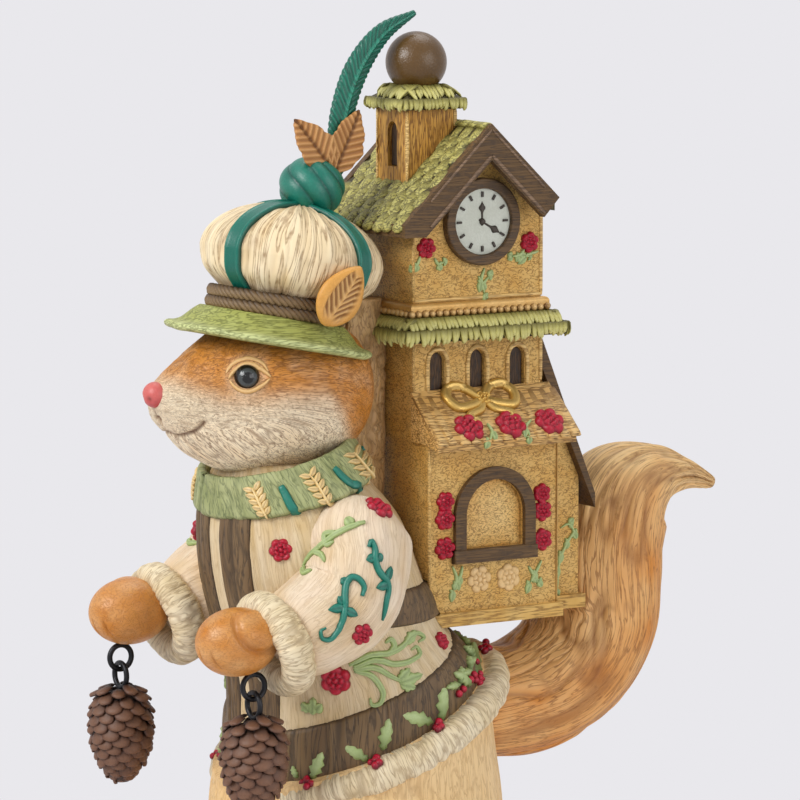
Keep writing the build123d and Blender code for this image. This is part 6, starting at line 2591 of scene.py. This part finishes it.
    def scarf_ferns(self, scarf: Carrier) -> None:
        """Gold ferns and teal stripes on the scarf.

        Args:
            scarf: Surface of the scarf.
        """
        relief = Relief(scarf, 0.6)
        for top, low in self.ferns:
            pixels = np.linspace(top, low, 6)
            relief.trace(pixels, 0.8, 1.4)
            way = unit(pixels[-1] - pixels[0])
            side = way[::-1] * np.array([-1, 1])
            for index, pixel in enumerate(pixels[:-1]):
                size = 8.4 + 2.6 * math.sin(1 + index * 0.5)
                for turn in (-1, 1):
                    tip = pixel + (side * turn * 0.9 - way * 0.35) * size
                    relief.sprout((pixel + way * 0.35 * size, tip), 1.3, 1.4)
        relief.build("scarf_ferns", Finishes.fern, "gold")
        stripes = Relief(scarf)
        for line in self.stripes:
            stripes.trace(line, 1.9, 1.2, even, 0.2)
        stripes.build("scarf_stripes", Finishes.teal, "teal")

    def coat_scrolls(self, coat: Carrier) -> None:
        """Teal scrolls on the sleeve and back, and green foliage on the skirt of the coat.

        Args:
            coat: Surface of the coat and sleeves.
        """
        teal = Relief(coat, 0.7)
        for line in self.scrolls:
            teal.trace(line, 1.75, 1.7, tapered)
        for ends in self.scroll_leaves:
            teal.sprout(ends, 2.0, 1.6)
        teal.build("coat_scrolls", Finishes.teal, "teal")
        green = Relief(coat, 0.7)
        for line in self.fans:
            green.trace(line, 1.5, 1.6, tapered, 0.35)
        for ends in self.fan_leaves:
            green.sprout(ends, 2.4, 1.5, 3)
        green.build("coat_foliage", Finishes.vine, "scarf")

    def holly(self, band: Carrier, hem: Carrier) -> None:
        """Holly leaves and berries round the hem band.

        Args:
            band: Surface of the hem band.
            hem: Surface of the band and the fur below it.
        """
        leaves, berries = Spots(), Spots()
        for base, tip in self.holly_leaves:
            self.put_leaf(leaves, band, band.seen(base), band.seen(tip))
        for u, v in self.berries:
            for step in ((-3.8, 1.4), (3.8, 1.8), (0.4, -4.6), (0.2, 4.4), (0.1, -0.4)):
                self.put_berry(berries, hem, hem.seen((u + step[0], v + step[1])))
        coat = Coat()
        for angle in np.radians(np.arange(20, 161, 13.0)):
            spot = coat.surface(np.array([angle]), coat.hem_z(np.array([angle]), 10.0), 2.0)[0] * MM
            way = np.array([-math.sin(angle), math.cos(angle), 0.4]) * 11 * MM
            up = np.array([0, 0, 9.0 * MM])
            self.put_leaf(leaves, band, spot, spot + way * 0.62 + up * 0.5, (1,))
            self.put_leaf(leaves, band, spot, spot - way * 0.7 + up * 0.3, (1,))
            for shift in (-0.0016, 0.0016):
                self.put_berry(berries, band, spot + way * shift / 0.011 - np.array([0, 0, 0.003]), (1,))
        leaf = [(0.0, 0.05, 0, 0.5), (0.10, 0.26, 0, 0.6), (0.20, 0.17, 0.1, 0.9), (0.36, 0.46, 0, 0.7),
                (0.47, 0.28, 0.1, 1.0), (0.62, 0.42, 0, 0.7), (0.74, 0.22, 0.1, 0.9), (0.86, 0.24, 0, 0.5),
                (1.0, 0.03, 0, 0.3)]
        grow(leaves.host(), on_points(), "holly_leaves", pod("holly", leaf, 16), Finishes.vine, "scarf",
             Size_Variation=0.06, Turn_Variation=0.05, Seed=2)
        grow(berries.host(), on_points(), "holly_berries", dot("berry"), Finishes.rose, "rose",
             Size_Variation=0.08, Turn_Variation=0.5, Seed=6)

    @staticmethod
    def put_leaf(
        spots: Spots, band: Carrier, base: Sequence[float], tip: Sequence[float],
        sides: Sequence[int] = (1, -1)
    ) -> None:
        """Mark a holly leaf on the sides that have it.

        Args:
            spots: Points that take the leaf.
            band: Surface below it.
            base: Foot of the leaf, in metres.
            tip: Its tip, in metres.
            sides: 1 for left, -1 for right.
        """
        ends, normals = band.lay(np.array([base, tip, (np.array(base) + np.array(tip)) / 2]))
        length = np.linalg.norm(ends[1] - ends[0]) / MM
        size = (length * 0.56, length, 2.4)
        for side in sides:
            turn = to_side(side)
            spots.add(ends[0] * turn, (ends[1] - ends[0]) * turn, normals[2] * turn, size)

    @staticmethod
    def put_berry(
        spots: Spots, band: Carrier, place: Sequence[float], sides: Sequence[int] = (1, -1)
    ) -> None:
        """Mark a berry on the sides that have it.

        Args:
            spots: Points that take the berry.
            band: Surface below it.
            place: Where it sits, in metres.
            sides: 1 for left, -1 for right.
        """
        ends, normals = band.lay(np.array([place, place, place]))
        for side in sides:
            turn = to_side(side)
            place = (ends[0] + normals[0] * 0.6 * MM) * turn
            spots.add(place, (0, 0, 1), normals[0] * turn, (3.1, 3.1, 3.1))

    def build(self, nodes: dict[str, Piece]) -> None:
        """Make all the ornament on the pieces that carry it.

        Args:
            nodes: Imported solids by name.
        """
        objects = bpy.data.objects
        cloths = ("coat_cloth", "left_sleeve_cloth", "right_sleeve_cloth")
        coat = Carrier(*(objects[name] for name in cloths))
        walls = ("lower_storey", "upper_storey", "mid_storey", "back_bay")
        house = Carrier(*(nodes[name] for name in (*walls, "left_apron_roof", "right_apron_roof")))
        self.roses(coat, house)
        self.blossoms(house)
        self.sprigs(house)
        self.bow(house)
        self.scarf_ferns(Carrier(objects["scarf_roll"]))
        self.coat_scrolls(coat)
        self.holly(Carrier(objects["hem_ribs"]), Carrier(objects["hem_ribs"], objects["hem_fur_roll"]))


class Studio:
    """Pale floor, plain backdrop and soft lights."""

    backdrop: str = "e9e8ec"

    def pale(self) -> bpy.types.Material:
        """Floor paint that shows the backdrop's colour to the camera away from the object.

        Returns:
            The material.
        """
        material = bpy.data.materials.new("studio_pale")
        material.use_nodes = True
        material.node_tree.nodes.clear()
        bench = NodeBench(material.node_tree)
        place = bench.add("ShaderNodeTexCoord").outputs["Object"]
        reach = bench.add("ShaderNodeVectorMath", {"operation": "LENGTH"}, s0=place).outputs["Value"]
        kind = {"interpolation_type": "SMOOTHSTEP"}
        away = bench.add("ShaderNodeMapRange", kind, Value=reach, From_Min=0.10, From_Max=0.34).outputs[0]
        path = bench.add("ShaderNodeLightPath")
        seen = bench.math("MAXIMUM", path.outputs["Is Camera Ray"], path.outputs["Is Glossy Ray"])
        share = bench.math("MULTIPLY", seen, away)
        paint_node = bench.add("ShaderNodeBsdfDiffuse", Color=linear(self.backdrop))
        glow = bench.add("ShaderNodeEmission", Color=linear(self.backdrop), Strength=1.0)
        mixed = bench.add("ShaderNodeMixShader", s0=share, s1=paint_node.outputs[0], s2=glow.outputs[0])
        bench.add("ShaderNodeOutputMaterial", Surface=mixed.outputs[0])
        return material

    def floor(self) -> None:
        """Large round floor under the figurine."""
        shape = Shape()
        ring = turns(96)
        radii = np.array([0.01, 0.2, 1.2])
        points = grid(np.outer(radii, np.cos(ring)), np.outer(radii, np.sin(ring)), -0.0002).reshape(-1, 3)
        faces: list[tuple[int, ...]] = [tuple(range(96))]
        for row in range(2):
            for k in range(96):
                n = (k + 1) % 96
                faces.append((row * 96 + k, (row + 1) * 96 + k, (row + 1) * 96 + n, row * 96 + n))
        shape.add(points, faces)
        piece = shape.build("studio_floor")
        piece.data.materials.append(self.pale())

    def world(self) -> None:
        """Even light, with the backdrop's colour behind the object."""
        world = bpy.data.worlds.new("studio")
        bpy.context.scene.world = world
        world.use_nodes = True
        world.node_tree.nodes.clear()
        bench = NodeBench(world.node_tree)
        path = bench.add("ShaderNodeLightPath")
        seen = bench.math("MAXIMUM", path.outputs["Is Camera Ray"], path.outputs["Is Glossy Ray"])
        strength = bench.math("MAXIMUM", seen, 0.54)
        sky = bench.add("ShaderNodeBackground", Color=linear(self.backdrop), Strength=strength)
        bench.add("ShaderNodeOutputWorld", Surface=sky.outputs[0])

    def lamp(self, name: str, place: Point, aim: Point, size: float, power: float) -> None:
        """Square lamp that looks at a point.

        Args:
            name: Name of the lamp.
            place: Where it hangs, in metres.
            aim: Point that it looks at.
            size: Width in metres.
            power: Power in watts.
        """
        data = bpy.data.lights.new(name, "AREA")
        data.size, data.energy = size, power
        lamp = bpy.data.objects.new(name, data)
        bpy.context.scene.collection.objects.link(lamp)
        turn = (Vector(aim) - Vector(place)).to_track_quat("-Z", "Y").to_matrix().to_4x4()
        lamp.matrix_world = Matrix.Translation(place) @ turn

    def build(self) -> None:
        """Make the studio and set the view."""
        bpy.context.scene.view_settings.view_transform = "Standard"
        self.floor()
        self.world()
        self.lamp("key", (0.1, -1.3, 1.1), (0, 0.03, 0.2), 0.7, 18.0)
        self.lamp("fill", (1.5, 0.5, 0.7), (0, 0.03, 0.2), 1.0, 8.0)
        self.lamp("top", (-0.3, 0.4, 1.5), (0, 0.03, 0.2), 0.8, 6.0)
        VIEW.place_camera()


def main() -> None:
    """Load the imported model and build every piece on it."""
    logging.basicConfig(level=logging.INFO, format="%(name)s: %(message)s")
    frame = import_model()
    nodes = frame["nodes"]
    Studio().build()
    Skirt().build()
    Coat().build()
    for side in (1, -1):
        Arm(side).build()
        Ear(side).build()
    Collar().build()
    Head().build()
    Hat().build()
    Tail().build()
    Rope().build()
    HangingCone(1, -72.5).build()
    HangingCone(-1, -84.0).build()
    House().build(nodes)
    Ornament().build(nodes)
    paint(nodes, Finishes.felt, "base_felt")
    for node in nodes:
        if not nodes[node].hide_render and not nodes[node].data.materials:
            LOG.info("bare %s", node)


if __name__ == "__main__":
    main()
